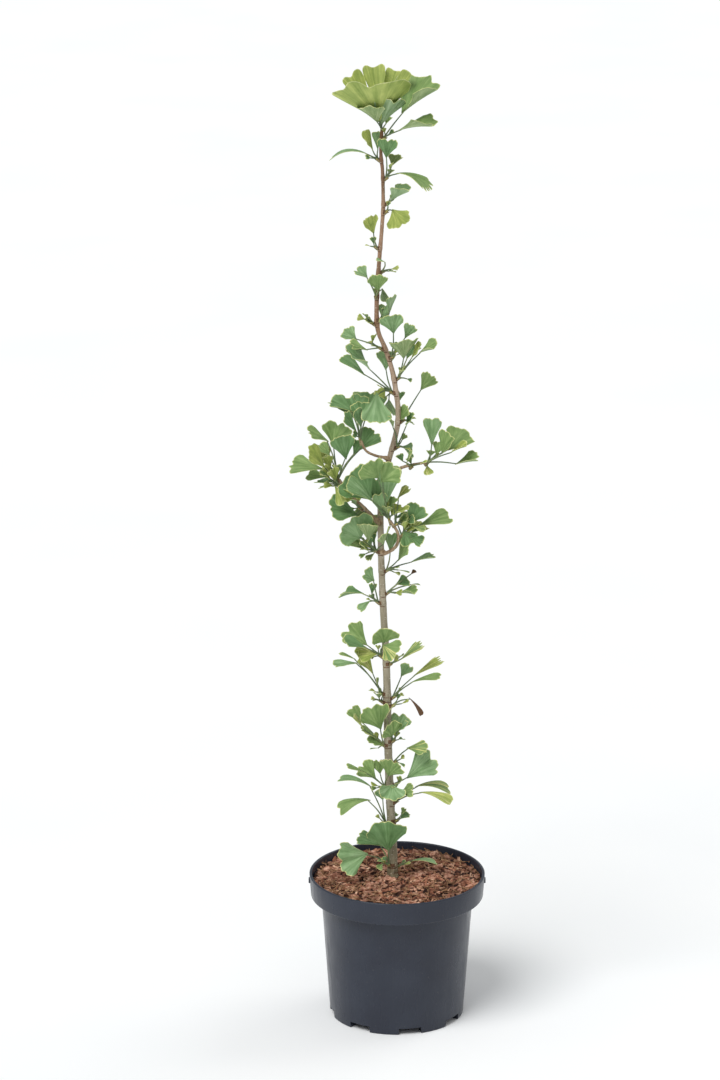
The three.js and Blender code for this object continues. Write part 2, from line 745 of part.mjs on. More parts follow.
// The blade: two corners at its root and an even row along its margin, above and below.
function bladeSolid(leaf) {
  const facets = 2 * Math.min(3, Math.ceil(leaf.blade / FACET_PAIR_BLADE));
  const outline = [
    [-leaf.half, BLADE_ROOT_REACH],
    [leaf.half, BLADE_ROOT_REACH],
  ];
  for (let i = facets; i >= 0; i--) {
    const side = (2 * i) / facets - 1;
    outline.push([side * leaf.half, marginReach(leaf, side)]);
  }
  const corners = outline.length;
  const points = [BLADE_THICKNESS / 2, -BLADE_THICKNESS / 2].flatMap((above) =>
    outline.flatMap(([turn, reach]) => onBlade(leaf, turn, reach, above).toArray()),
  );
  const middle = 2 + facets / 2;
  const faces = [0, 1, middle];
  for (let k = 2; k < corners - 1; k++) faces.push(k < middle ? 1 : 0, k, k + 1);
  const under = [];
  for (let k = 0; k < faces.length; k += 3)
    under.push(faces[k + 1] + corners, faces[k] + corners, faces[k + 2] + corners);
  for (let k = 0; k < corners; k++) {
    const next = (k + 1) % corners;
    under.push(k + corners, next + corners, next);
    under.push(k + corners, next, k);
  }
  const geometry = new THREE.BufferGeometry();
  geometry.setAttribute("position", new THREE.Float32BufferAttribute(points, 3));
  geometry.setIndex([...faces, ...under]);
  return solidOf(geometry);
}

// The stalk starts inside the spur and ends inside the blade.
function stalkSolid(leaf, out) {
  const start = leaf.foot.clone().addScaledVector(out, -SPUR_LENGTH / 2);
  const sunk = onBlade(leaf, 0, leaf.blade * STALK_SINK, 0);
  const curve = new THREE.CatmullRomCurve3([start, leaf.bend, sunk]);
  return tube(curve, 3, 2, (share) => STALK_RADIUS * (1 - STALK_TAPER * share), false);
}

function boxesMeet(a, b) {
  return [0, 1, 2].every((k) => a.min[k] <= b.max[k] && b.min[k] <= a.max[k]);
}

const touches = (solid, other) =>
  boxesMeet(solid.boundingBox(), other.boundingBox()) && !solid.intersect(other).isEmpty();

// ---- Assembly ----------------------------------------------------------------------------

const tree = new THREE.Group();
tree.add(meshOf("pot", makePot(), material(0x454955, 0.55)));
tree.add(meshOf("soil", makeSoil(), material(0x775746, 0.95)));
tree.add(meshOf(STEM.name, stemSolid(0), material(0xa29c8a, 0.8)));

// What later pieces must stay clear of: the limbs, fattened by the clearance, the bark and the pot.
const stemSpace = stemSolid(CLEARANCE);
for (const limb of sideLimbs) {
  const solid = mainBody(sideLimbSolid(limb, 0).subtract(stemSpace));
  tree.add(meshOf(limb.name, solid, material(0xab8a74, 0.8)));
}
const limbSpace = joined([stemSpace, ...sideLimbs.map((limb) => sideLimbSolid(limb, CLEARANCE))]);
const ground = makeSoil().add(makePot());

function sideOf(heading) {
  return ["right", "back", "left", "front"][Math.round(heading / 90) % 4];
}

function leafColour(height) {
  const above = LEAF_COLOURS.findIndex(([level]) => level > height);
  const k = above < 0 ? LEAF_COLOURS.length - 1 : above;
  const [low, from] = LEAF_COLOURS[k - 1];
  const [high, to] = LEAF_COLOURS[k];
  return new THREE.Color(from).lerp(new THREE.Color(to), Math.min((height - low) / (high - low), 1));
}

const masses = [];
FOLIAGE.forEach(([limbName, at, heading, rows], index) => {
  const seat = spurSeat(limbName, at, heading);
  const base = seat.centre.clone().addScaledVector(seat.out, seat.radius + CLEARANCE);
  const foot = base.clone().addScaledVector(seat.out, SPUR_LENGTH);
  const spurLine = new THREE.LineCurve3(base, foot);
  const pieces = [tube(spurLine, SPUR_SIDES, 1, () => SPUR_RADIUS, false)];
  const draw = seeded(index + 1);
  for (const row of rows) {
    const variation = variationOf(draw);
    for (const sidestep of SIDESTEPS) {
      const leaf = leafOf(foot, row, variation, sidestep);
      const solid = stalkSolid(leaf, seat.out).add(bladeSolid(leaf));
      if ([limbSpace, ground, ...masses].some((other) => touches(solid, other))) continue;
      pieces.push(solid);
      break;
    }
  }
  const mass = mainBody(joined(pieces).subtract(limbSpace).simplify(SMALLEST_EDGE));
  masses.push(mass);
  const number = String(index + 1).padStart(2, "0");
  const name = `foliage_${number}_${sideOf(heading)}`;
  tree.add(meshOf(name, mass, material(leafColour(foot.z), 0.6)));
});

export default tree;
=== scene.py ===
import math
import random

import bmesh
import bpy
import numpy as np
from mathutils import Matrix, Vector, noise


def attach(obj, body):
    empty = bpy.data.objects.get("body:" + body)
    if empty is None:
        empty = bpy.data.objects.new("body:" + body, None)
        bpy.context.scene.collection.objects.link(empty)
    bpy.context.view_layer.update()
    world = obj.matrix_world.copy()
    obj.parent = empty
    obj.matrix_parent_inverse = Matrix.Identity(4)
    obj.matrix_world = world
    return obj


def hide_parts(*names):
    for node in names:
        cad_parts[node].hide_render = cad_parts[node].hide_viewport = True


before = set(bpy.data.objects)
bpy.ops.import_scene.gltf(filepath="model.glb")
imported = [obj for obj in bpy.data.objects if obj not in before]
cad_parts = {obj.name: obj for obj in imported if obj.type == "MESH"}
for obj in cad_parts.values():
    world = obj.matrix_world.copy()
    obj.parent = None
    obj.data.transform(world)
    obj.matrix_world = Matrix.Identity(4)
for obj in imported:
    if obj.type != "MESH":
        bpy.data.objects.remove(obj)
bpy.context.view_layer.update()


# ---- Container ---------------------------------------------------------------------------
# A round nursery pot, injection-moulded in thin dark blue-grey plastic. A deep collar stiffens
# its rim. It stands on a ring of feet round a raised underside with drain holes, and two
# small lugs below the rim keep stacked pots apart.

MM = 0.001  # sizes are written in millimetres, and meshes are in metres
FULL_TURN = 2 * math.pi
POT_HEIGHT = 155
POT_WALL = 2
RIM_RADIUS = 92.3
COLLAR_FOOT_RADIUS = 90.6
COLLAR_FOOT = 131
BODY_TOP_RADIUS = 79.5
BODY_FOOT_RADIUS = 70.5
UNDERSIDE_RISE = 7
POT_FLOOR = UNDERSIDE_RISE + POT_WALL
MIDDLE_PAD_RADIUS = 28
FOOT_RING_WIDTH = 11
PAD_SLOPE = 3
NOTCHES = 8
NOTCH_WIDTH = 24
NOTCH_HEIGHT = 7
NOTCH_TURN = 11  # degrees from +X to the first notch
DRAIN_RADIUS = 5
DRAIN_CIRCLE_RADIUS = 44
DRAIN_SIDES = 20
DRAIN_CUT = 50  # length of the tool that cuts a drain
POT_EDGE = 1.2  # rounding of the moulded edges
POT_LIP = 1.5
POT_FACETS = 160
LUG_SIZE = (3.2, 6, 5)  # out, across and up; half of the first is inside the collar
LUG_DROP = 9  # from the rim to the middle of a lug
LUG_EDGE = 0.6


def rgb(red, green, blue):
    """A colour as it looks, 0 to 255, as the linear values that a shader takes."""
    def linear(value):
        share = value / 255
        return share / 12.92 if share <= 0.04045 else ((share + 0.055) / 1.055) ** 2.4
    return (linear(red), linear(green), linear(blue), 1)


class Sketch:
    """Shorthand for the nodes and links of a tree."""

    def __init__(self, tree):
        self.tree = tree

    def feed(self, socket, value):
        """Gives an input a plain value or another node's output."""
        if isinstance(value, bpy.types.NodeSocket):
            self.tree.links.new(value, socket)
        else:
            socket.default_value = value

    def node(self, kind, links=(), **settings):
        """A node; each link is (input socket name or number, output socket or plain value)."""
        made = self.tree.nodes.new(kind)
        for label, value in settings.items():
            setattr(made, label, value)
        for socket, value in links:
            self.feed(made.inputs[socket], value)
        return made


class Finish(Sketch):
    """A new material with its constants set on the shader, and shorthand for its patterns."""

    def __init__(self, name, colour, roughness, specular):
        self.material = bpy.data.materials.new(name)
        self.material.use_nodes = True
        self.material.diffuse_color = rgb(*colour)
        super().__init__(self.material.node_tree)
        self.shader = self.tree.nodes["Principled BSDF"].inputs
        self.paint(rgb(*colour))
        self.shader["Roughness"].default_value = roughness
        self.shader["Specular IOR Level"].default_value = specular

    def paint(self, colour):
        self.feed(self.shader["Base Color"], colour)

    def speckle(self, place, scale, detail):
        """The value of a noise read at a place that is first scaled along its axes."""
        spread = self.node("ShaderNodeMapping", [("Vector", place), ("Scale", scale)])
        return self.node("ShaderNodeTexNoise", [
            ("Vector", spread.outputs["Vector"]), ("Scale", 1.0), ("Detail", detail),
        ]).outputs["Fac"]

    def grain(self, size, detail, stretch=(1, 1, 1)):
        """Noise whose grains are about size millimetres, stretched along the axes."""
        place = self.node("ShaderNodeTexCoord").outputs["Object"]
        return self.speckle(place, [1 / (size * MM * s) for s in stretch], detail)

    def ramp(self, value, stops):
        """A colour ramp read at value; each stop is a position and a linear colour."""
        made = self.node("ShaderNodeValToRGB", [("Fac", value)])
        marks = made.color_ramp.elements
        for _ in stops[2:]:
            marks.new(0.5)
        for mark, (position, colour) in zip(marks, stops):
            mark.position = position
            mark.color = colour
        return made.outputs["Color"]

    def shades(self, value, *stops):
        """A ramp whose stops are a position and a colour as it looks."""
        return self.ramp(value, [(position, rgb(*colour)) for position, colour in stops])

    def shares(self, value, *stops):
        """A ramp whose stops are a position and a share of all light, or of its three colours."""
        return self.ramp(value, [
            (position, (*(np.zeros(3) + share), 1)) for position, share in stops])

    def mixed(self, under, over, share, way="MIX"):
        """One colour laid over another; share is how much of it."""
        return self.node(
            "ShaderNodeMix", [("A", under), ("B", over), ("Factor", share)],
            data_type="RGBA", blend_type=way).outputs["Result"]

    def relief(self, *heights):
        """Bumps the surface by each (value, height in millimetres) in turn."""
        before = []
        for value, height in heights:
            bump = self.node("ShaderNodeBump", [
                ("Height", value), ("Strength", 1.0), ("Distance", height * MM), *before])
            before = [("Normal", bump.outputs["Normal"])]
        self.feed(self.shader["Normal"], bump.outputs["Normal"])


class Rule(Sketch):
    """A Geometry Nodes tree with named inputs, and shorthand for what it does."""

    def __init__(self, name, **inputs):
        super().__init__(bpy.data.node_groups.new(name, "GeometryNodeTree"))
        face = self.tree.interface
        face.new_socket("Geometry", in_out="INPUT", socket_type="NodeSocketGeometry")
        self.sockets = {}
        for label, (kind, value) in inputs.items():
            made = face.new_socket(label, in_out="INPUT", socket_type="NodeSocket" + kind)
            if value is not None:
                made.default_value = value
            self.sockets[label] = made.identifier
        face.new_socket("Geometry", in_out="OUTPUT", socket_type="NodeSocketGeometry")
        self.given = self.node("NodeGroupInput").outputs

    def maths(self, operation, first, second):
        return self.node(
            "ShaderNodeMath", [(0, first), (1, second)], operation=operation).outputs[0]

    def vector_maths(self, operation, first, second):
        return self.node(
            "ShaderNodeVectorMath", [(0, first), (1, second)], operation=operation).outputs[0]

    def vector(self, **parts):
        return self.node("ShaderNodeCombineXYZ", parts.items()).outputs[0]

    def rotation(self, angles):
        return self.node("FunctionNodeEulerToRotation", [(0, angles)]).outputs[0]

    def moved(self, geometry, **place):
        """The geometry with each point at a Position, or moved by an Offset."""
        return self.node(
            "GeometryNodeSetPosition", [("Geometry", geometry), *place.items()]).outputs[0]

    def realized(self, geometry):
        return self.node("GeometryNodeRealizeInstances", [(0, geometry)]).outputs[0]

    def copies(self, points, shape, **placing):
        """A copy of the shape on each point."""
        return self.realized(self.node("GeometryNodeInstanceOnPoints", [
            ("Points", points), ("Instance", shape.outputs["Mesh"]), *placing.items(),
        ]).outputs[0])

    def end(self, geometry, material):
        """Gives out the geometry in its material."""
        dressed = self.node("GeometryNodeSetMaterial", [
            ("Geometry", self.realized(geometry)), ("Material", material)])
        self.node("NodeGroupOutput", [("Geometry", dressed.outputs[0])])

    def baked(self, start, name, **values):
        """The plain mesh that the tree makes from the mesh start with these input values."""
        carrier = bpy.data.objects.new(name, start)
        bpy.context.scene.collection.objects.link(carrier)
        modifier = carrier.modifiers.new(name, "NODES")
        modifier.node_group = self.tree
        for label, value in values.items():
            modifier[self.sockets[label]] = value
        shape = bpy.context.evaluated_depsgraph_get()
        mesh = bpy.data.meshes.new_from_object(carrier.evaluated_get(shape), depsgraph=shape)
        carrier.modifiers.remove(modifier)
        bpy.data.objects.remove(carrier)
        mesh.name = name
        return mesh


def piece(name, mesh, slot, *nodes):
    """A finished piece: it rides on the one body and stands for the CAD nodes named."""
    made = bpy.data.objects.new(name, mesh)
    bpy.context.scene.collection.objects.link(made)
    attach(made, "root")
    if nodes:
        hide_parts(*nodes)
    return made


def surface(name, points, faces, material, smooth=True):
    """A mesh from points in millimetres."""
    mesh = bpy.data.meshes.new(name)
    mesh.from_pydata([tuple(c * MM for c in point) for point in points], [], faces)
    mesh.materials.append(material)
    mesh.polygons.foreach_set("use_smooth", [smooth] * len(mesh.polygons))
    mesh.update()
    return mesh


def rounded(profile, reach, steps=4):
    """A profile with each inner corner turned into an arc that starts reach before it."""
    line = [Vector(corner) for corner in profile]
    smooth = [line[0]]
    for before, corner, after in zip(line, line[1:], line[2:]):
        cut = min(reach, (before - corner).length * 0.45, (after - corner).length * 0.45)
        start = corner + (before - corner).normalized() * cut
        end = corner + (after - corner).normalized() * cut
        for i in range(steps + 1):
            share = i / steps
            smooth.append(start.lerp(corner, share).lerp(corner.lerp(end, share), share))
    return smooth + [line[-1]]


def turned(profile, facets):
    """Points and faces of a closed lathe about Z; the profile runs from axis to axis."""
    points = [(0, 0, profile[0][1])]
    faces = []
    for radius, height in profile[1:-1]:
        for i in range(facets):
            turn = FULL_TURN * i / facets
            points.append((radius * math.cos(turn), radius * math.sin(turn), height))
    points.append((0, 0, profile[-1][1]))
    rings = len(profile) - 2
    for i in range(facets):
        after = (i + 1) % facets
        faces.append((0, 1 + after, 1 + i))
        for ring in range(rings - 1):
            low, high = 1 + ring * facets, 1 + (ring + 1) * facets
            faces.append((low + i, low + after, high + after, high + i))
        last = 1 + (rings - 1) * facets
        faces.append((last + i, last + after, len(points) - 1))
    return points, faces


def pot_profile():
    ring = BODY_FOOT_RADIUS - FOOT_RING_WIDTH
    return rounded([
        (0, 0),
        (MIDDLE_PAD_RADIUS, 0),
        (MIDDLE_PAD_RADIUS + PAD_SLOPE, UNDERSIDE_RISE),
        (ring - PAD_SLOPE, UNDERSIDE_RISE),
        (ring, 0),
        (BODY_FOOT_RADIUS, 0),
        (BODY_TOP_RADIUS, COLLAR_FOOT - POT_WALL),
        (COLLAR_FOOT_RADIUS, COLLAR_FOOT),
        (RIM_RADIUS, POT_HEIGHT),
        (RIM_RADIUS - POT_LIP * 2, POT_HEIGHT),
        (COLLAR_FOOT_RADIUS - POT_WALL, COLLAR_FOOT + POT_WALL),
        (BODY_TOP_RADIUS - POT_WALL, COLLAR_FOOT),
        (BODY_FOOT_RADIUS - POT_WALL, POT_FLOOR),
        (0, POT_FLOOR),
    ], POT_EDGE)


def ring_cuts():
    """Cuts a ring of boxes out of the feet and a ring of drains out of the floor."""
    rule = Rule(
        "ring_cuts",
        Count=("Int", NOTCHES),
        First=("Float", math.radians(NOTCH_TURN)),
        Notch=("Vector", None),
        NotchCircle=("Float", 0.0),
        DrainRadius=("Float", 0.0),
        DrainCircle=("Float", 0.0),
        Plastic=("Material", None),
    )
    given = rule.given
    step = rule.maths("DIVIDE", FULL_TURN, given["Count"])
    index = rule.node("GeometryNodeInputIndex").outputs[0]
    angle = rule.maths("ADD", rule.maths("MULTIPLY", index, step), given["First"])
    turning = rule.rotation(rule.vector(Z=angle))
    box = rule.node("GeometryNodeMeshCube", [("Size", given["Notch"])])
    drain = rule.node("GeometryNodeMeshCylinder", [
        ("Vertices", DRAIN_SIDES), ("Radius", given["DrainRadius"]), ("Depth", DRAIN_CUT * MM)])
    cut = rule.node(
        "GeometryNodeMeshBoolean", [("Mesh 1", given["Geometry"])], operation="DIFFERENCE")
    for cutter, circle in ((box, "NotchCircle"), (drain, "DrainCircle")):
        dots = rule.node("GeometryNodePoints", [("Count", given["Count"])]).outputs[0]
        place = rule.node("FunctionNodeRotateVector", [
            (0, rule.vector(X=given[circle])), (1, turning)]).outputs[0]
        ring = rule.copies(rule.moved(dots, Position=place), cutter, Rotation=turning)
        rule.feed(cut.inputs["Mesh 2"], ring)
    rule.end(cut.outputs["Mesh"], given["Plastic"])
    return rule


def pot_plastic():
    """Blue-grey plastic with faint clouds, specks of dust, and the soft waves of its moulding."""
    plastic = Finish("pot_plastic", (46, 51, 63), 0.34, 0.32)
    clouds = plastic.shades(
        plastic.grain(40, 4), (0.3, (42, 46, 58)), (0.55, (46, 51, 63)), (0.8, (51, 56, 68)))
    dust = plastic.shares(plastic.grain(2.2, 8), (0.66, 0), (0.8, 0.3))
    plastic.paint(plastic.mixed(clouds, rgb(132, 128, 126), dust))
    gloss = plastic.shares(plastic.grain(9, 5, (1, 1, 4)), (0.3, 0.22), (0.75, 0.44))
    plastic.feed(plastic.shader["Roughness"], gloss)
    plastic.relief((plastic.grain(0.8, 2), 0.02), (plastic.grain(12, 3, (1, 1, 8)), 0.22))
    return plastic.material


def make_pot(plastic):
    points, faces = turned(pot_profile(), POT_FACETS)
    shell = surface("pot_shell", points, faces, plastic)
    mesh = ring_cuts().baked(
        shell, "pot_shell",
        Notch=[FOOT_RING_WIDTH * 3 * MM, NOTCH_WIDTH * MM, NOTCH_HEIGHT * 2 * MM],
        NotchCircle=BODY_FOOT_RADIUS * MM,
        DrainRadius=DRAIN_RADIUS * MM,
        DrainCircle=DRAIN_CIRCLE_RADIUS * MM,
        Plastic=plastic,
    )
    mesh.set_sharp_from_angle(angle=math.radians(40))
    return mesh


def make_lugs(plastic):
    """Two rounded blocks, rooted in the collar."""
    form = bmesh.new()
    size = Matrix.Diagonal([length * MM for length in LUG_SIZE] + [1])
    for side in (-1, 1):
        middle = Vector((side * (RIM_RADIUS - LUG_SIZE[0] / 4), 0, POT_HEIGHT - LUG_DROP)) * MM
        bmesh.ops.create_cube(form, size=1, matrix=Matrix.Translation(middle) @ size)
    bmesh.ops.bevel(
        form, geom=form.edges[:], offset=LUG_EDGE * MM, segments=2, profile=0.5, affect="EDGES")
    mesh = bpy.data.meshes.new("pot_lugs")
    form.to_mesh(mesh)
    form.free()
    mesh.materials.append(plastic)
    return mesh


plastic = pot_plastic()
piece("pot_shell", make_pot(plastic), "pot_plastic", "pot")
piece("pot_lugs", make_lugs(plastic), "pot_plastic")


# ---- Potting bark ------------------------------------------------------------------------
# The pot is filled with shredded pine bark and coir. A rough bed carries loose shreds, fibres
# and a few larger flat chips, which lie at random on one another. The bed is darker than the
# shreds, partly its own colour and partly painted shade in the gaps between them.

SOIL_MIDDLE = 150
SOIL_EDGE = 146.5
SOIL_LEVEL_RADIUS = 22
SOIL_CLEARANCE = 0.5
BED_LUMP = 1.6  # height of the lumps in the bed
BED_NOISES = ((14, 0, 0.7), (4, 40, 0.35))  # size, place along Z, share of a lump's height
BED_SINK = 1  # how far the bed lies below the shreds' level
BED_RINGS = 44
BED_FACETS = 120
BARK_TILT = 0.38  # radians by which a shred may tilt
BARK_SWIRL = 150.0  # waves in a metre of the noise that bends the shreds
BARK_KINDS = [
    # name, shreds in a square decimetre, smallest and largest (length, width, thickness),
    # lift, how far they are bent, steps along them, dark, middle and light tone
    ("bark_dark_shreds", 330, (6, 1.6, 0.8), (17, 3.8, 1.8), -0.3, 3, 4,
     (44, 25, 20), (74, 44, 34), (108, 70, 55)),
    ("bark_red_shreds", 300, (5, 1.4, 0.6), (19, 3.4, 1.5), 0.3, 3, 4,
     (110, 66, 50), (160, 106, 82), (198, 146, 118)),
    ("bark_pale_shreds", 170, (4, 1.1, 0.5), (15, 2.9, 1.2), 0.8, 3, 4,
     (168, 120, 96), (206, 160, 132), (230, 196, 170)),
    ("bark_fibres", 150, (14, 0.6, 0.5), (32, 1.1, 0.8), 0.9, 7, 9,
     (112, 78, 54), (164, 124, 92), (200, 166, 130)),
    ("bark_chips", 36, (7, 5, 1.2), (17, 9, 2.2), 0.6, 3, 4,
     (146, 96, 78), (194, 144, 120), (220, 182, 158)),
]


def bed_height(x, y):
    radius = math.hypot(x, y)
    slope = max(0.0, (radius - SOIL_LEVEL_RADIUS) / (COLLAR_FOOT_RADIUS - SOIL_LEVEL_RADIUS))
    level = SOIL_MIDDLE - (SOIL_MIDDLE - SOIL_EDGE) * slope
    lumps = sum(share * noise.noise(Vector((x, y, z)) / size) for size, z, share in BED_NOISES)
    return level + BED_LUMP * lumps - BED_SINK


def make_bed(material):
    """The fill as one closed body, and its top alone, on which the shreds are strewn."""
    gap = POT_WALL + SOIL_CLEARANCE
    edge = COLLAR_FOOT_RADIUS - gap
    side = [
        (0, POT_FLOOR + SOIL_CLEARANCE),
        (BODY_FOOT_RADIUS - gap, POT_FLOOR + SOIL_CLEARANCE),
        (BODY_TOP_RADIUS - gap, COLLAR_FOOT + SOIL_CLEARANCE),
        (edge, COLLAR_FOOT + gap),
    ]
    top = [(edge * (1 - i / BED_RINGS), SOIL_EDGE) for i in range(BED_RINGS)]
    points, faces = turned(side + top + [(0, SOIL_MIDDLE)], BED_FACETS)
    first = 1 + (len(side) - 1) * BED_FACETS
    points[first:] = [(x, y, bed_height(x, y)) for x, y, _ in points[first:]]
    bed = surface("bark_bed", points, faces, material)
    lid = surface("bark_lid", points, [face for face in faces if min(face) >= first], material)
    return bed, lid


def litter():
    """Strews small blocks on a surface, turned and sized at random, and warps them all."""
    rule = Rule(
        "litter",
        Density=("Float", 1.0),
        Seed=("Int", 0),
        Smallest=("Vector", None),
        Largest=("Vector", None),
        Tilt=("Float", BARK_TILT),
        Warp=("Float", 0.001),
        Steps=("Int", 4),
        Lift=("Float", 0.0),
        Reach=("Float", 1.0),
        Bark=("Material", None),
    )
    given = rule.given

    def dealt(least, most):
        """A vector dealt out at random between two."""
        return rule.node(
            "FunctionNodeRandomValue", [(0, least), (1, most), ("Seed", given["Seed"])],
            data_type="FLOAT_VECTOR").outputs[0]

    strewn = rule.node("GeometryNodeDistributePointsOnFaces", [
        ("Mesh", given["Geometry"]), ("Density", given["Density"]), ("Seed", given["Seed"])])
    block = rule.node("GeometryNodeMeshCube", [("Size", (1, 1, 1)), ("Vertices X", given["Steps"])])
    tilt = given["Tilt"]
    back = rule.maths("SUBTRACT", 0.0, tilt)
    turn = dealt(rule.vector(X=back, Y=back), rule.vector(X=tilt, Y=tilt, Z=FULL_TURN))
    lifted = rule.moved(strewn.outputs["Points"], Offset=rule.vector(Z=given["Lift"]))
    loose = rule.copies(
        lifted, block, Rotation=rule.rotation(turn),
        Scale=dealt(given["Smallest"], given["Largest"]))
    where = rule.node("GeometryNodeInputPosition").outputs[0]
    swirl = rule.node("ShaderNodeTexNoise", [
        ("Vector", where), ("Scale", BARK_SWIRL), ("Detail", 2.0)]).outputs["Color"]
    centred = rule.vector_maths("SUBTRACT", swirl, (0.5, 0.5, 0.5))
    bend = rule.node(
        "ShaderNodeVectorMath", [(0, centred), ("Scale", given["Warp"])], operation="SCALE")
    warped = rule.moved(loose, Offset=bend.outputs[0])
    flat = rule.vector_maths("MULTIPLY", where, (1, 1, 0))
    from_axis = rule.node("ShaderNodeVectorMath", [(0, flat)], operation="LENGTH")
    room = rule.maths("DIVIDE", given["Reach"], from_axis.outputs["Value"])
    drawn_in = rule.maths("MINIMUM", room, 1.0)
    squeeze = rule.vector(X=drawn_in, Y=drawn_in, Z=1.0)
    held = rule.moved(warped, Position=rule.vector_maths("MULTIPLY", where, squeeze))
    rule.end(held, given["Bark"])
    return rule


def bark_finish(name, dark, middle, light):
    """Torn bark: streaky between three tones, matt and rough, and darker where it is damp."""
    bark = Finish(name, middle, 0.88, 0.25)
    streaks = bark.shades(bark.grain(3.2, 5), (0.32, dark), (0.52, middle), (0.7, light))
    damp = bark.shares(bark.grain(26, 3), (0.36, (0.42, 0.37, 0.35)), (0.58, 1))
    bark.paint(bark.mixed(streaks, damp, 0.9, "MULTIPLY"))
    bark.relief((bark.grain(0.9, 4), 0.25))
    return bark.material


def make_bark():
    # The bed is painted far darker than the shreds: partly the fill's own dark colour, partly
    # painted shade for the gaps between the shreds.
    bed, lid = make_bed(bark_finish("bark_bed", (34, 21, 17), (54, 34, 28), (78, 52, 42)))
    piece("bark_bed", bed, "potting_bark", "soil")
    strewing = litter()
    for seed, (name, count, smallest, largest, lift, warp, steps, *tones) in enumerate(BARK_KINDS):
        mesh = strewing.baked(
            lid.copy(), name,
            Density=float(count * 100),
            Seed=seed + 3,
            Smallest=[size * MM for size in smallest],
            Largest=[size * MM for size in largest],
            Tilt=BARK_TILT,
            Warp=warp * MM,
            Steps=steps,
            Lift=lift * MM,
            Reach=(COLLAR_FOOT_RADIUS - POT_WALL - SOIL_CLEARANCE) * MM,
            Bark=bark_finish(name, *tones),
        )
        piece(name, mesh, "potting_bark")


make_bark()


# ---- Stem --------------------------------------------------------------------------------
# One slender seedling stem, which leans and kinks a little and widens where it enters the
# fill. Its bark is thin and grey-fawn, with fine lengthwise furrows, pale pores, and a
# swollen scar under each spur.

STEM_FOOT = 150
STEM_TIP = 947
STEM_FOOT_RADIUS = 4.7
STEM_TIP_RADIUS = 1.6
STEM_FLARE = 2.1
STEM_FLARE_HEIGHT = 6
STEM_SINK = 2  # how deep the stem's own mesh stands in the bark
STEM_SIDES = 32
STEM_PATH = [
    (-4.5, 0, 150), (-5, -1, 158), (-4.5, -3, 182), (-7.5, -5, 236), (-9.8, -7, 300),
    (-11.6, -8, 384), (-15.3, -8, 455), (-17.4, -8, 510), (-17.5, -6, 568), (-10.4, -8, 603),
    (-0.5, -12, 650), (-4.5, -10, 692), (-12.7, -8, 722), (-21.5, -8, 747), (-21.3, -8, 792),
    (-16.2, -8, 862), (-16.4, -8, 902), (-18.3, -8, 928), (-17.3, -8, 947),
]
TIP = 1  # where a side limb ends, as a share of its length
SPURS = [
    # from the tip down: limb; height, or share of the limb's length; heading
    ("trunk", 947, 90), ("trunk", 941, 320), ("trunk", 919, 190), ("trunk", 900, 335),
    ("trunk", 874, 5), ("trunk", 866, 330), ("trunk", 829, 190), ("trunk", 804, 10),
    ("trunk", 779, 255), ("trunk", 755, 320), ("trunk", 751, 188), ("trunk", 725, 190),
    ("trunk", 716, 325), ("trunk", 694, 0), ("trunk", 680, 195), ("trunk", 650, 5),
    ("trunk", 622, 355), ("upper_left_twig", TIP, 200), ("left_bough", TIP, 180),
    ("left_bough", 0.88, 195), ("left_bough", 0.4, 205), ("trunk", 511, 195),
    ("looping_twig", TIP, 270), ("right_bough", TIP, 0), ("right_bough", 0.62, 300),
    ("looping_twig", 0.93, 350), ("looping_twig", 0.68, 350), ("trunk", 490, 0), ("trunk", 466, 0),
    ("trunk", 456, 190), ("trunk", 398, 200), ("trunk", 390, 320), ("trunk", 357, 190),
    ("trunk", 352, 0), ("trunk", 344, 335), ("trunk", 348, 185), ("trunk", 301, 215),
    ("trunk", 305, 330), ("trunk", 281, 355), ("trunk", 256, 5), ("trunk", 254, 215),
    ("trunk", 247, 290), ("trunk", 236, 5), ("trunk", 212, 200), ("trunk", 216, 330),
    ("trunk", 166, 235), ("trunk", 160, 40),
]
SCARS = [(at, heading) for limb, at, heading in SPURS if limb == "trunk" and at < STEM_TIP]
FURROW = (1.1, 16, 0.035)  # width, length, and depth as a share of the stem's radius
BULGE = (5, 9, 0.06)
SCAR_DROP = 1.5  # how far the middle of a swollen scar lies below its spur
SCAR_SPREAD = 3.2
SCAR_BACK = 0.25  # how far a scar swells the stem's far side, share of its own height
SCAR_MARK = 2.4  # half the height of the dark mark on a scar
RING_DROP = 4.5  # how far the fine ring round the stem lies below the spur
RING_WIDTH = 0.7
RING_DEPTH = 0.22


def through(points, steps):
    """A smooth line through the points, as an array of steps + 1 places."""
    knots = np.array(points, float)
    first, last = 2 * knots[0] - knots[1], 2 * knots[-1] - knots[-2]
    knots = np.vstack([first, knots, last])
    places = []
    for share in np.linspace(0, len(points) - 1, steps + 1):
        k = min(int(share), len(points) - 2)
        u = share - k
        p0, p1, p2, p3 = knots[k:k + 4]
        leave, arrive = (p2 - p0) / 2, (p3 - p1) / 2
        places.append(
            (2 * p1 - 2 * p2 + leave + arrive) * u**3
            + (3 * p2 - 3 * p1 - 2 * leave - arrive) * u**2
            + leave * u
            + p1
        )
    return np.array(places)


def read_off(value, values, line):
    """The place on a line where the rising values reach value."""
    return np.array([np.interp(value, values, line[:, axis]) for axis in range(3)])


STEM_LINE = through(STEM_PATH, 2400)


def stem_centre(height):
    return read_off(height, STEM_LINE[:, 2], STEM_LINE)


def stem_radius(height):
    share = (height - STEM_FOOT) / (STEM_TIP - STEM_FOOT)
    flare = STEM_FLARE * math.exp((STEM_FOOT - height) / STEM_FLARE_HEIGHT)
    return STEM_FOOT_RADIUS + (STEM_TIP_RADIUS - STEM_FOOT_RADIUS) * share + flare


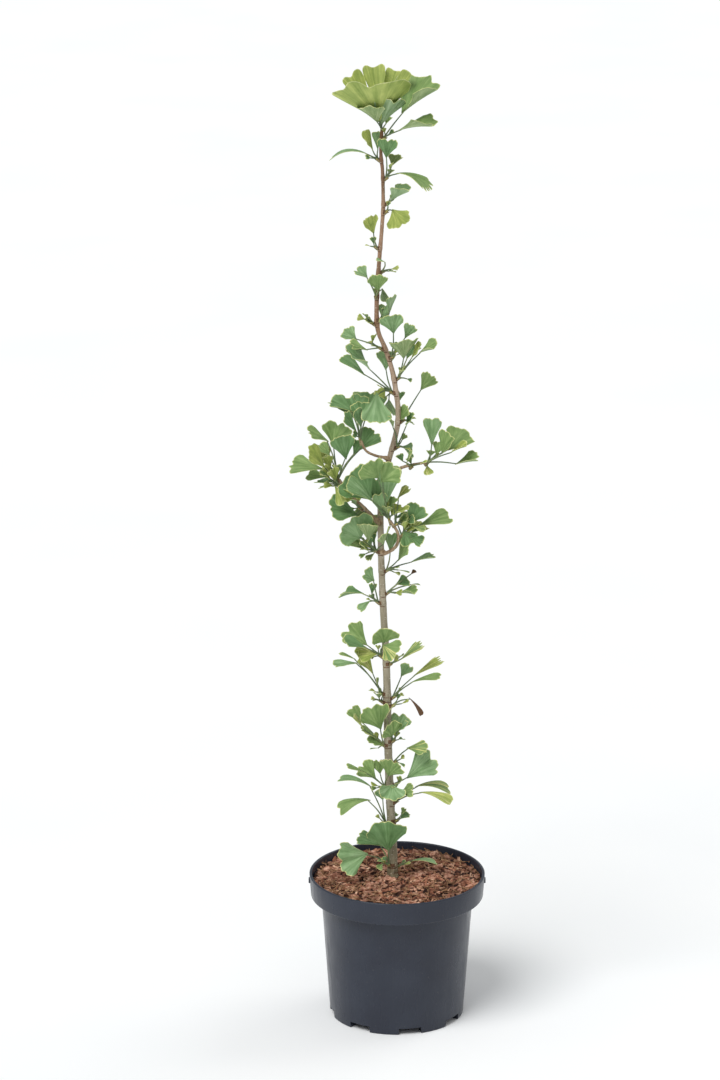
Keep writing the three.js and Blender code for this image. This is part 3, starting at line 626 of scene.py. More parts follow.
def stem_relief(height, turn):
    """How far the bark stands out at a height and a turn round the stem, in millimetres."""
    radius = stem_radius(height)
    x, y, _ = Vector((math.cos(turn) * radius, math.sin(turn) * radius, 0))
    out = radius * sum(
        depth * noise.noise(Vector((x / width, y / width, height / length)))
        for width, length, depth in (FURROW, BULGE))
    for spur_height, heading in SCARS:
        gap = (height - spur_height + SCAR_DROP) / SCAR_SPREAD
        if abs(gap) < 2.5:
            facing = 0.5 + 0.5 * math.cos(turn - math.radians(heading))
            out += (SCAR_BACK + (1 - SCAR_BACK) * facing**2) * math.exp(-gap * gap)
            ring = (height - spur_height + RING_DROP) / RING_WIDTH
            out -= RING_DEPTH * math.exp(-ring * ring)
    return out


def tube_faces(rings, sides):
    """Faces of a tube of rings that run onwards, each ring anticlockwise, and its two caps."""
    faces = [tuple(reversed(range(sides)))]
    for ring in range(rings - 1):
        for i in range(sides):
            after = (i + 1) % sides
            low, high = ring * sides, (ring + 1) * sides
            faces.append((low + i, low + after, high + after, high + i))
    faces.append(tuple(range((rings - 1) * sides, rings * sides)))
    return faces


def stem_bark():
    """Fawn bark, greener at its foot and redder at its tip, streaked and dotted with pores."""
    bark = Finish("stem_bark", (168, 160, 142), 0.72, 0.35)
    place = bark.node("ShaderNodeTexCoord").outputs["Object"]
    split = bark.node("ShaderNodeSeparateXYZ", [("Vector", place)])
    height = bark.node("ShaderNodeMapRange", [
        ("Value", split.outputs["Z"]), ("From Min", STEM_FOOT * MM), ("From Max", STEM_TIP * MM)])
    colour = bark.shades(
        height.outputs["Result"],
        (0, (140, 134, 108)), (0.06, (162, 154, 134)), (0.45, (172, 162, 142)),
        (0.66, (190, 168, 148)), (0.76, (164, 128, 104)), (0.9, (170, 138, 114)),
        (1, (124, 88, 64)))
    streaks = bark.shares(
        bark.grain(1.5, 6, (1, 1, 9)),
        (0.3, (0.55, 0.52, 0.48)), (0.5, (0.95, 0.94, 0.92)), (0.72, 1))
    blotches = bark.shares(
        bark.grain(9, 4, (1, 1, 2.4)),
        (0.34, (0.72, 0.72, 0.66)), (0.55, 1), (0.75, (1, 0.97, 0.9)))
    for layer in (streaks, blotches):
        colour = bark.mixed(colour, layer, 0.85, "MULTIPLY")
    pores = bark.shares(bark.grain(1.3, 1, (1.8, 1.8, 1)), (0.66, 0), (0.7, 1))
    bark.paint(bark.mixed(colour, rgb(206, 198, 178), pores))
    bark.relief((bark.grain(0.9, 4, (1, 1, 7)), 0.35), (pores, 0.12))
    return bark.material


def is_scar(height, turn):
    """Whether the bark at a height and a turn is the scar round a spur's foot or the ring below."""
    for spur_height, heading in SCARS:
        facing = math.cos(turn - math.radians(heading))
        if facing > 0.5 and abs(height - spur_height + 1) < SCAR_MARK:
            return True
        if facing > -0.3 and abs(height - spur_height + RING_DROP) < RING_WIDTH:
            return True
    return False


def mottled(name, colour, roughness, specular, grain, tones, relief_grain, height):
    """A finish mottled between tones by one grain, with a relief that follows another."""
    made = Finish(name, colour, roughness, specular)
    made.paint(made.shades(made.grain(*grain), *tones))
    made.relief((made.grain(*relief_grain), height))
    return made.material


def make_stem():
    points = []
    heights = np.arange(STEM_FOOT - STEM_SINK, STEM_TIP + 0.1, 1.0)
    for height in heights:
        centre = stem_centre(height)
        for i in range(STEM_SIDES):
            turn = FULL_TURN * i / STEM_SIDES
            radius = stem_radius(max(height, STEM_FOOT)) + stem_relief(height, turn)
            points.append((
                centre[0] + radius * math.cos(turn), centre[1] + radius * math.sin(turn), height))
    mesh = surface("stem", points, tube_faces(len(heights), STEM_SIDES), stem_bark())
    mesh.materials.append(mottled(
        "stem_scar", (104, 78, 58), 0.8, 0.25,
        (1.1, 4), [(0.34, (72, 50, 38)), (0.66, (132, 102, 76))], (0.7, 3), 0.3))
    for face in mesh.polygons[1:-1]:
        ring, side = divmod(face.index - 1, STEM_SIDES)
        face.material_index = is_scar(heights[ring] + 0.5, FULL_TURN * (side + 0.5) / STEM_SIDES)
    return mesh


piece("stem", make_stem(), "stem_bark", "trunk")


# ---- Boughs and twigs --------------------------------------------------------------------
# Four young side shoots. Each grows out of a collar of bark on the stem, is ringed by the
# scars of its buds, and is still reddish brown and smoother than the stem.

SIDE_LIMBS = {
    # radius of its foot and of its tip, path
    "left_bough": (2.2, 1.4, [
        (-18, -8, 540), (-24, -11, 546), (-38, -13, 561), (-49, -14, 571), (-60, -14, 588)]),
    "right_bough": (1.9, 1.3, [(-12, -8, 593), (-4, -12, 597), (8, -13, 602), (28, -13, 606)]),
    "looping_twig": (1.9, 1.4, [
        (-17, -9, 510), (-12, -17, 511), (-2, -19, 519), (0, -17, 531), (-8, -17, 545)]),
    "upper_left_twig": (1.5, 1.2, [
        (-9, -9, 608), (-14, -13, 611), (-24, -15, 614), (-33, -15, 619), (-38, -14, 629)]),
}
LIMB_STEP = 0.8
LIMB_SIDES = 14
COLLAR_SWELL = 1.1
COLLAR_LENGTH = 3
LIMB_SCAR = 0.16  # height of the ring-shaped scars
LIMB_SCAR_WIDTH = 0.8
LIMB_SCAR_SPACING = 7
LIMB_KNOB = 0.07  # height of its bumps, share of its radius


def unit(vector):
    return vector / np.linalg.norm(vector)


def evenly(line):
    """The line, each place's share of its length, and that length."""
    lengths = np.concatenate([[0], np.cumsum(np.linalg.norm(np.diff(line, axis=0), axis=1))])
    return line, lengths / lengths[-1], lengths[-1]


LIMB_LINES = {name: evenly(through(path, 400)) for name, (_, _, path) in SIDE_LIMBS.items()}


def limb_place(name, share):
    line, shares, _ = LIMB_LINES[name]
    return read_off(share, shares, line)


def tube(places, radius_at, sides):
    """Points of a tube along the places, whose rings turn as little as they can, and its faces."""
    ahead = [unit(after - before) for before, after in zip(places, places[1:])]
    ahead.append(ahead[-1])
    side = unit(np.cross(ahead[0], (0.31, 0.95, 0.07)))
    points = []
    for k, (place, onward) in enumerate(zip(places, ahead)):
        side = unit(side - onward * (side @ onward))
        other = np.cross(onward, side)
        for i in range(sides):
            turn = FULL_TURN * i / sides
            points.append(place + radius_at(k / (len(places) - 1), turn) * (
                side * math.cos(turn) + other * math.sin(turn)))
    return points, tube_faces(len(places), sides)


def joined(name, shapes, material):
    """One mesh of several (points, faces) shapes."""
    points, faces = [], []
    for own_points, own_faces in shapes:
        start = len(points)
        points.extend(own_points)
        faces.extend(tuple(start + corner for corner in face) for face in own_faces)
    return surface(name, points, faces, material)


def side_limb(name):
    foot_radius, tip_radius, _ = SIDE_LIMBS[name]
    length = LIMB_LINES[name][2]
    steps = int(length / LIMB_STEP)
    places = [limb_place(name, k / steps) for k in range(steps + 1)]

    def radius_at(share, turn):
        run = share * length
        radius = foot_radius + (tip_radius - foot_radius) * share
        past_collar = max(0, run - foot_radius - COLLAR_LENGTH)
        collar = COLLAR_SWELL * math.exp(-(past_collar / COLLAR_LENGTH) ** 2)
        from_scar = run % LIMB_SCAR_SPACING - LIMB_SCAR_SPACING / 2
        scar = LIMB_SCAR * math.exp(-(from_scar / LIMB_SCAR_WIDTH) ** 2)
        knobs = LIMB_KNOB * radius * noise.noise(Vector((math.cos(turn), math.sin(turn), run / 3)))
        return radius + collar + scar + knobs

    return tube(places, radius_at, LIMB_SIDES)


shoot_bark = mottled(
    "shoot_bark", (158, 134, 108), 0.6, 0.4, (1.6, 5, (1, 1, 3)),
    [(0.3, (112, 88, 66)), (0.5, (158, 132, 104)), (0.74, (190, 168, 138))], (0.8, 3), 0.2)
piece(
    "boughs", joined("boughs", [side_limb(name) for name in SIDE_LIMBS], shoot_bark),
    "stem_bark", *SIDE_LIMBS)


# ---- Spurs -------------------------------------------------------------------------------
# A ginkgo carries its leaves on short spurs, stubby ringed shoots which grow a fraction of a
# millimetre a year. Each comes out of its limb's bark, turns up to the light and ends in a
# cup of brown bud scales.

SPUR_LENGTH = 3.2
SPUR_RADIUS = 1.5
SPUR_CLEARANCE = 0.3
SPUR_LIFT = 0.55  # how much the end of a spur turns up, as rise over run
SPUR_TAPER = (1.15, 0.3)  # share of the radius at its foot, and what is lost by its end
SPUR_DOME = 0.2  # share of its length that closes in a dome
SPUR_RINGS = 6
RING_RELIEF = 0.14  # height of a year's ring
LOBE_RELIEF = 0.09  # height of the three lobes that wind along it
SPUR_SCALES = 6
SCALE_TURN = 2.1  # radians from one scale to the next
SCALE_SIZES = (0.75, 1.1)
INNER_SCALE = 0.8  # size of the last two, as a share
SCALE_THICKNESS = 0.28
SCALE_BOW = 0.35  # how far its sides bend round the spur
# Each station of a scale is how far on it lies, its half width, and how far out it stands.
SCALE_STATIONS = ((-1.6, 0.8, 1.1), (-0.4, 0.95, 1.35), (0.9, 0.7, 1.4), (2.1, 0.12, 1.05))


def level(turn):
    """A level step of 1 at a turn in radians from +X."""
    return np.array([math.cos(turn), math.sin(turn), 0])


def spur_seat(limb, at, heading):
    """The foot of the spur's leaves, and the way that the spur points."""
    out = level(math.radians(heading))
    if limb == "trunk":
        centre, radius = stem_centre(at), stem_radius(at)
    else:
        foot_radius, tip_radius, _ = SIDE_LIMBS[limb]
        centre, radius = limb_place(limb, at), foot_radius + (tip_radius - foot_radius) * at
        if at == TIP:
            line = LIMB_LINES[limb][0]
            out, radius = unit(line[-1] - line[-2]), 0
    return centre + out * (radius + SPUR_CLEARANCE + SPUR_LENGTH), out


def spur_tip(out):
    """The way that a spur points at its end, where it has turned up to the light."""
    return unit(out + np.array([0, 0, SPUR_LIFT]))


def spur_body(foot, out):
    """The ringed shoot, from inside the limb's bark to its domed end."""
    drop = np.array([0, 0, 1.0])
    places = through([
        foot - out * (SPUR_LENGTH + 1.6) - drop * 3.2,
        foot - out * 2.6 - drop * 1.9,
        foot + spur_tip(out) * 0.7,
    ], 16)

    def radius_at(share, turn):
        rings = RING_RELIEF * math.cos(FULL_TURN * share * SPUR_RINGS)
        past_dome = max(0, (share - (1 - SPUR_DOME)) / SPUR_DOME)
        dome = math.sqrt(max(0.02, 1 - past_dome**2))
        lobes = LOBE_RELIEF * math.cos(3 * turn + share * 9)
        wide, taper = SPUR_TAPER
        return (SPUR_RADIUS * (wide - taper * share) + rings + lobes) * dome

    return tube(list(places), radius_at, 10)


def bud_scale(foot, out, turn, size):
    """A small pointed scale that hugs the end of the spur."""
    side = unit(np.cross(out, (0.12, 0.2, 0.97)) + 1e-6)
    away = side * math.cos(turn) + np.cross(out, side) * math.sin(turn)
    beside = np.cross(out, away)
    points, faces = [], []
    for thick in (0, SCALE_THICKNESS):
        for along, width, apart in SCALE_STATIONS:
            for across in (-1, 0, 1):
                bow = apart - SCALE_BOW * abs(across) + thick
                points.append(foot + (out * along + away * bow + beside * width * across) * size)
    upper = len(points) // 2
    for row in range(len(SCALE_STATIONS) - 1):
        for corner in (row * 3, row * 3 + 1):
            outer = corner + upper
            faces.append((corner, corner + 3, corner + 4, corner + 1))
            faces.append((outer, outer + 1, outer + 4, outer + 3))
    rim = [0, 1, 2, 5, 8, 11, 10, 9, 6, 3]
    for here, after in zip(rim, rim[1:] + rim[:1]):
        faces.append((here, after, after + upper, here + upper))
    return points, faces


def make_spurs():
    chance = random.Random(5)
    bodies, scales = [], []
    for spur in SPURS:
        foot, out = spur_seat(*spur)
        bodies.append(spur_body(foot, out))
        start = chance.uniform(0, 6)
        tip = spur_tip(out)
        for k in range(SPUR_SCALES):
            size = chance.uniform(*SCALE_SIZES) * (1 if k < SPUR_SCALES - 2 else INNER_SCALE)
            seat = foot - tip * (0.4 + 0.5 * (k // 3))
            scales.append(bud_scale(seat, tip, start + k * SCALE_TURN, size))
    return bodies, scales


spur_bark = mottled(
    "spur_bark", (142, 128, 94), 0.7, 0.35, (0.9, 3, (3, 3, 1)),
    [(0.34, (84, 70, 50)), (0.5, (142, 128, 94)), (0.72, (176, 166, 126))],
    (0.9, 3, (3, 3, 1)), 0.2)
scale_skin = mottled(
    "bud_scales", (158, 146, 84), 0.66, 0.35, (1.4, 4),
    [(0.3, (112, 90, 52)), (0.5, (156, 142, 80)), (0.74, (190, 184, 112))], (0.5, 3), 0.15)
spur_bodies, spur_scales = make_spurs()
piece("spurs", joined("spurs", spur_bodies, spur_bark), "stem_bark")
piece("bud_scales", joined("bud_scales", spur_scales, scale_skin), "stem_bark")


# ---- Leaves ------------------------------------------------------------------------------
# Fans on slender stalks, leathery and about 0.4 mm thick. Veins fork outwards from the
# stalk, the outer edge is wavy with a notch in its middle, and the two sides are straight.
# Some are streaked or edged with cream. Each leaf's own variation is dealt out by its spur.

EYE_HEIGHT = 1757  # the eye of the front view, and how far it is from the plane y = FRONT
EYE_DISTANCE = 4101
FRONT = -8
CLEFT = (0.02, 0.2)  # depth of the cleft in the middle of the margin, share of the blade
CLEFT_WIDTH = 0.14
LOBE_PLACE = (0.3, 0.45)  # the cut in each half: least, and by how much it varies
LOBE_DEPTH = (0.02, 0.07)
LOBE_WIDTH = 0.09
SHOULDERS = ((0.08, 4), (0.13, 16))  # how the margin falls back to the sides
CURL = (12, 26)
CONE = (40, 68)  # half angle of the cone that a blade is rolled on, for facing 0 and 1
CONE_PLAY = 4
BROAD_FAN = math.radians(35)  # a narrower fan is smoother and flatter in proportion
LOPSIDED = 12  # degrees by which the cone of one half differs from the other's
RIPPLES = ((0.03, 9, 1), (0.012, 26, 3))  # in the margin: height, waves, turns with the seed
RUFFLES = ((0.055, 6, 1, 2), (0.022, 13, 2, 3))  # in the blade, and how they grow outwards
COMB_CUT = 0.12  # depth of the cuts in a cut edge
FAN_WAIST = 0.72  # share of its full angle at which a fan leaves its stalk
BLADE_THICKNESS = 0.42
MARGIN_BAND = 0.8
MARGIN_THINNING = 0.7
BLADE_COLUMNS = 28
BLADE_ROWS = [0.03, 0.16, 0.31, 0.46, 0.6, 0.73, 0.84]  # share of the blade, inside its band
CROWDED = (495, 600)  # heights between which the inner spurs are crowded with late leaves
CROWDED_REACH = 20  # how far across those inner spurs stand
LATE_LEAVES = (2, 5, 4)  # how many, their least size, and by how much they vary
CROWDED_LATE_LEAVES = (8, 7, 9)
LATE_STALK = (2, 0.8)  # its least length, and how much more at most, share of the leaf
LATE_FAN = (24, 20)  # least half angle, facing and lean, and by how much each varies
LATE_FACING = (0, 0.7)
LATE_LEAN = (-40, 90)
YOUNG_TONES = ("cream_lime", "fresh", "lime", "deep")
CREAM_STREAKS = 6
VEIN_GRAINS = ((42, 1.4, 2), (9, 1.1, 3))  # across the fan, outwards, detail
TONES = {
    # upper side, underside
    "lime": ((170, 184, 94), (174, 189, 104)),
    "fresh": ((134, 162, 96), (154, 174, 120)),
    "deep": ((112, 148, 94), (138, 163, 114)),
    "glaucous": ((138, 171, 118), (155, 181, 134)),
    "olive": ((112, 130, 74), (134, 150, 98)),
    "dead": ((112, 78, 50), (140, 106, 76)),
    "cream": ((204, 206, 130), (202, 204, 146)),
    "margin": ((212, 216, 146), (208, 214, 150)),
}
TONE_SLOT = {tone: 2 * k for k, tone in enumerate(TONES)}
# A row of LEAF_ROWS is for one spur, in the order of SPURS: the tone of each leaf, and the
# leaves. A leaf is the places of its blade's root and tip, across and up in the front view;
# half the angle of its fan; how far its upper side faces the front (0 is up, below 0 is
# back); how far it leans back; and how far the blade curls down, which is from the seed if
# left out. A tone with comb_ has a cut edge, and one with cream_ streaks of cream.
LEAF_ROWS = [
    ("lime lime lime lime lime fresh glaucous", [
        (-20, 956, -34, 996, 60, -0.6, -36, 10), (-21, 960, -50, 1006, 14, 0.75, 12, 12),
        (-19, 960, -26, 1015, 14, 0.75, 24, 12), (-18, 960, -4, 1011, 10, 0.7, 30, 12),
        (-17, 962, 9, 1008, 8, 0.6, 15, 12), (-21, 955, -36, 971, 48, -0.3, -36, 8),
        (-18, 953, -4, 979, 38, -0.3, -30, 8),
    ]),
    ("fresh fresh", [
        (2, 964, 39, 999, 62, 0.22, 12, 10), (-2, 947, 36, 953, 44, 0.15, -18, 20),
    ]),
    ("glaucous lime glaucous", [
        (-29, 922, -69, 918, 16, 0.1, 12, 76), (-26, 927, -37, 944, 44, 0.5, -22, 12),
        (-21, 926, -23, 947, 16, 0.5, 15, 12),
    ]),
    ("deep olive comb_fresh", [
        (-13, 919, -11, 940, 34, 0.75, -12, 10), (-8, 911, 1, 923, 50, 0.2, 22, 12),
        (-4, 904, 31, 886, 20, 0.25, -18, 70),
    ]),
    ("glaucous", [(-9, 876, 12, 888, 66, 0, -9, 8)]),
    ("lime", [(-7, 868, 4, 850, 50, 0.85, -15, 30)]),
    ("lime", [(-25, 842, -31, 860, 34, 0.6, -15, 10)]),
    ("glaucous", [(-13, 813, -22, 815, 42, 0.3, -30, 15)]),
    ("fresh glaucous deep", [
        (-21, 783, -22, 801, 42, 0.9, -8, 12), (-31, 797, -44, 806, 50, 0.4, 18, 8),
        (-17, 787, -14, 772, 20, 0.3, 30, 30),
    ]),
    ("glaucous glaucous", [
        (-16, 751, -13, 770, 26, 0.5, 22, 10), (-10, 758, -6, 779, 20, 0.3, -22, 12),
    ]),
    ("olive", [(-25, 751, -34, 753, 56, 0.4, -15, 8)]),
    ("glaucous fresh lime", [
        (-42, 733, -57, 742, 48, 0.5, 15, 12), (-31, 722, -49, 727, 42, 0.4, -22, 14),
        (-27, 729, -24, 739, 20, 0.3, -30, 10),
    ]),
    ("glaucous glaucous fresh", [
        (-5, 739, -8, 760, 42, 0.95, -9, 10), (6, 734, 14, 749, 32, 0.7, 18, 12),
        (-4, 722, 0, 730, 42, 0.2, 58),
    ]),
    ("fresh fresh deep cream_fresh lime", [
        (20, 719, 39, 727, 48, 0.3, -21, 6), (5, 713, 8, 733, 42, 0.4, -36, 10),
        (8, 713, 19, 729, 42, 0.3, 24, 12), (-1, 696, 8, 704, 42, 0.3, -15, 14),
        (12, 712, 22, 727, 28, 0.5, -30, 12),
    ]),
    ("glaucous deep glaucous glaucous lime deep", [
        (-28, 701, -54, 721, 50, 0.3, -15, 14), (-33, 695, -58, 716, 22, 0.3, 21, 12),
        (-13, 701, -12, 723, 36, 0.5, 18, 10), (-22, 679, -23, 645, 34, 0.9, -24, 20),
        (-13, 671, -22, 681, 40, 0.5, 30, 12), (-10, 672, -8, 655, 28, 0.5, 36, 16),
    ]),
    ("fresh fresh deep", [
        (22, 680, 35, 697, 34, 0.65, 15, 8), (1, 649, 11, 661, 46, 0.5, -21, 10),
        (0, 667, 2, 680, 28, 0.5, 36, 14),
    ]),
    ("deep deep fresh", [
        (7, 642, 16, 654, 52, 0.35, -18, 10), (4, 622, 15, 612, 50, 0.5, 21, 12),
        (-5, 640, -12, 654, 30, 0.4, -30, 12),
    ]),
    ("deep deep deep deep deep deep", [
        (-46, 658, -71, 669, 44, 0.35, 12, 12), (-41, 647, -51, 675, 46, 0.5, 30, 14),
        (-33, 650, -28, 680, 42, 0.6, 36, 12), (-42, 636, -56, 654, 30, 0.5, -18, 10),
        (-37, 645, -38, 669, 36, 0.4, 18, 12), (-38, 640, -43, 660, 18, 0.6, -36, 12),
    ]),
    ("deep fresh fresh deep fresh deep", [
        (-53, 607, -58, 633, 32, 0.85, -12, 10), (-67, 622, -60, 648, 48, 0.6, 18, 12),
        (-70, 626, -92, 637, 25, 0.5, -21, 12), (-40, 617, -21, 637, 42, 0.5, 15, 12),
        (-69, 611, -82, 624, 32, 0.5, 27, 12), (-46, 612, -38, 628, 30, 0.6, 24, 12),
    ]),
    ("fresh lime cream_lime cream_lime fresh", [
        (-75, 597, -111, 602, 26, 0.5, 15, 16), (-74, 598, -92, 617, 34, 0.5, -18, 12),
        (-72, 600, -80, 622, 30, 0.4, 30, 12), (-65, 580, -53, 560, 26, 0.6, -33, 18),
        (-71, 589, -93, 592, 20, 0.7, 33, 10),
    ]),
    ("deep olive", [
        (-40, 548, -71, 557, 38, 0.55, -18, 14), (-30, 552, -44, 544, 42, 0.6, 18, 12),
    ]),
    ("glaucous cream_fresh olive fresh glaucous fresh cream_fresh fresh", [
        (-38, 523, -52, 544, 64, 0.75, -18, 16), (-32, 511, -50, 520, 32, 0.3, 21, 14),
        (-24, 508, -32, 500, 32, 0.3, -18, 12), (-24, 523, -24, 549, 22, 0.4, 30, 10),
        (-34, 524, -58, 523, 24, 0.5, 18, 20), (-30, 520, -32, 539, 30, 0.3, -36, 12),
        (-29, 508, -39, 518, 30, 0.4, -27, 12), (-15, 516, -11, 532, 40, 0.5, -36, 12),
    ]),
    ("fresh deep deep glaucous glaucous glaucous fresh", [
        (-20, 587, -33, 604, 46, 0.9, -21, 12), (-27, 564, -51, 594, 40, 0.8, -9, 14),
        (-22, 558, -22, 590, 36, 0.7, 9, 12), (-13, 557, -8, 602, 19, 0.8, 0, 12),
        (-25, 562, -52, 584, 18, 0.6, -21, 16), (-16, 548, -20, 572, 26, 0.6, -3, 10),
        (-18, 583, -3, 601, 44, 0.85, -18, 12),
    ]),
    ("glaucous fresh fresh fresh cream_lime lime fresh", [
        (34, 621, 35, 652, 23, 0.7, 18, 12), (50, 617, 74, 634, 58, 0.5, 15, 14),
        (44, 613, 53, 635, 40, 0.5, -15, 12), (57, 602, 82, 609, 46, 0.2, -12, 10),
        (29, 602, 31, 591, 34, 0.6, -30, 14), (52, 614, 68, 622, 44, 0.2, -27, 12),
        (38, 612, 45, 626, 40, 0.3, 21, 12),
    ]),
    ("fresh deep", [
        (8, 602, 14, 615, 36, 0.4, -18, 12), (5, 605, -1, 613, 40, 0.3, 21, 12),
    ]),
    ("cream_lime fresh", [
        (-1, 566, 12, 578, 34, 0.3, 15, 14), (-6, 560, 0, 565, 28, 0.4, -18, 12),
    ]),
    ("deep fresh cream_fresh deep deep", [
        (11, 539, 24, 559, 42, 0.6, 15, 12), (20, 537, 54, 547, 25, 0.5, 18, 12),
        (12, 538, 27, 531, 26, 0.3, -21, 16), (5, 532, 14, 517, 48, 0.7, -15, 16),
        (-5, 544, 11, 551, 22, 0.3, 21, 12),
    ]),
    ("fresh glaucous glaucous glaucous", [
        (0, 499, 12, 522, 36, 0.45, -15, 10), (11, 497, 39, 505, 24, 0.1, 12, 20),
        (-1, 490, 12, 487, 12, 0, -15, 16), (-8, 508, -6, 530, 24, 0.5, 36, 12),
    ]),
    ("deep fresh dead glaucous", [
        (-3, 474, 12, 478, 40, 0.5, 15, 14), (0, 465, 20, 466, 42, 0.15, -18, 12),
        (13, 485, 19, 489, 40, 0.3, 12, 20), (12, 474, 23, 474, 14, 0, 21, 20),
    ]),
    ("glaucous deep deep glaucous", [
        (-24, 478, -36, 487, 52, 0.6, -15, 12), (-34, 464, -60, 462, 36, 0.05, 15, 36),
        (-27, 463, -25, 476, 26, 0.3, 21, 12), (-28, 457, -40, 446, 28, 0.4, -21, 20),
    ]),
    ("fresh deep fresh cream_fresh cream_lime", [
        (-31, 408, -54, 427, 39, 0.65, 18, 12), (-31, 405, -56, 412, 34, 0.3, -15, 12),
        (-14, 411, -15, 427, 66, 0.6, -27, 12), (-16, 409, 0, 398, 46, 0.8, -36, 14),
        (-20, 399, -43, 397, 36, 0.5, -21, 18),
    ]),
    ("comb_cream_fresh", [(2, 392, 27, 410, 20, 0.35, 12, 12)]),
    ("glaucous fresh cream_lime", [
        (-40, 389, -66, 386, 25, 0.25, -15, 14), (-43, 393, -61, 400, 18, 0.1, 15, 12),
        (-25, 376, -42, 402, 28, 0.45, -9, 20),
    ]),
    ("comb_cream_lime fresh glaucous", [
        (15, 374, 47, 394, 14, 0.4, 15, 10), (12, 367, 45, 374, 17, 0.3, -12, 30),
        (3, 374, 14, 387, 44, 0.4, 21, 8),
    ]),
    ("dead", [(11, 352, 25, 332, 12, 0.2, -12, 30)]),
    ("deep deep", [
        (-15, 352, -21, 360, 44, 0.4, -15, 10), (-21, 349, -26, 348, 26, 0.2, 18, 12),
    ]),
    ("fresh fresh cream_lime cream_fresh fresh deep", [
        (-17, 316, -28, 343, 40, 0.9, -9, 12), (-35, 322, -49, 341, 26, 0.6, 18, 12),
        (-34, 315, -46, 331, 26, 0.4, -18, 12), (-21, 306, -38, 317, 22, 0.4, -15, 12),
        (-14, 298, -31, 304, 38, 0.4, -21, 16), (-19, 296, -29, 295, 10, 0, 18, 14),
    ]),
    ("glaucous glaucous cream_lime fresh", [
        (-1, 312, 2, 335, 50, 0.55, 15, 14), (0, 314, 11, 323, 34, 0.4, -18, 12),
        (-13, 328, -3, 344, 13, 0.3, -21, 10), (-6, 308, -9, 323, 50, 0.6, -33, 10),
    ]),
    ("cream_fresh", [(9, 296, 31, 294, 38, 0.5, -12, 14)]),
    ("glaucous", [(9, 262, 38, 287, 30, 0.8, -6, 10)]),
    ("fresh fresh fresh fresh", [
        (-22, 262, -39, 278, 40, 0.6, 12, 14), (-30, 267, -53, 276, 14, 0.3, -15, 14),
        (-18, 267, -20, 284, 42, 0.6, 24, 12), (-10, 265, -3, 282, 42, 0.8, -33, 14),
    ]),
    ("glaucous fresh", [
        (-5, 256, -8, 237, 72, 0.8, -24, 24), (3, 247, 17, 250, 36, 0.7, -24, 14),
    ]),
    ("cream_fresh cream_lime", [
        (18, 253, 56, 249, 18, 0.4, 12, 66), (22, 247, 57, 236, 16, 0.4, -15, 46),
    ]),
    ("fresh glaucous glaucous", [
        (-27, 238, -62, 226, 16, 0.5, -12, 76), (-25, 251, -62, 262, 12, 0.3, 15, 66),
        (-15, 238, -18, 252, 36, 0.6, -9, 14),
    ]),
    ("deep glaucous", [
        (2, 217, 13, 223, 36, 0.3, 15, 14), (-8, 217, -1, 225, 38, 0.5, 30, 12),
    ]),
    ("deep deep glaucous fresh", [
        (-9, 181, -13, 215, 44, 0.95, -10, 10), (-15, 187, -42, 199, 22, 0.6, 15, 12),
        (-30, 179, -62, 170, 42, 0.85, -15, 18), (-15, 168, -20, 161, 36, 0.6, -18, 16),
    ]),
    ("glaucous", [(13, 170, 42, 168, 15, 0.2, 9, 50)]),
]


def seeded(seed):
    """Even random numbers from 0 to 1, the same on every run."""
    state = seed

    def draw():
        nonlocal state
        state = state + 0x6D2B79F5 & 0xFFFFFFFF
        mixed = (state ^ state >> 15) * (state | 1) & 0xFFFFFFFF
        mixed ^= mixed + ((mixed ^ mixed >> 7) * (mixed | 61) & 0xFFFFFFFF) & 0xFFFFFFFF
        return (mixed ^ mixed >> 14) / 2**32

    return draw


def front_place(foot):
    """Where a spur's foot is seen in the front view, and the slope of the line of sight there."""
    slope = (EYE_HEIGHT - foot[2]) / EYE_DISTANCE
    return np.array([foot[0], foot[2] + slope * (foot[1] - FRONT)]), slope


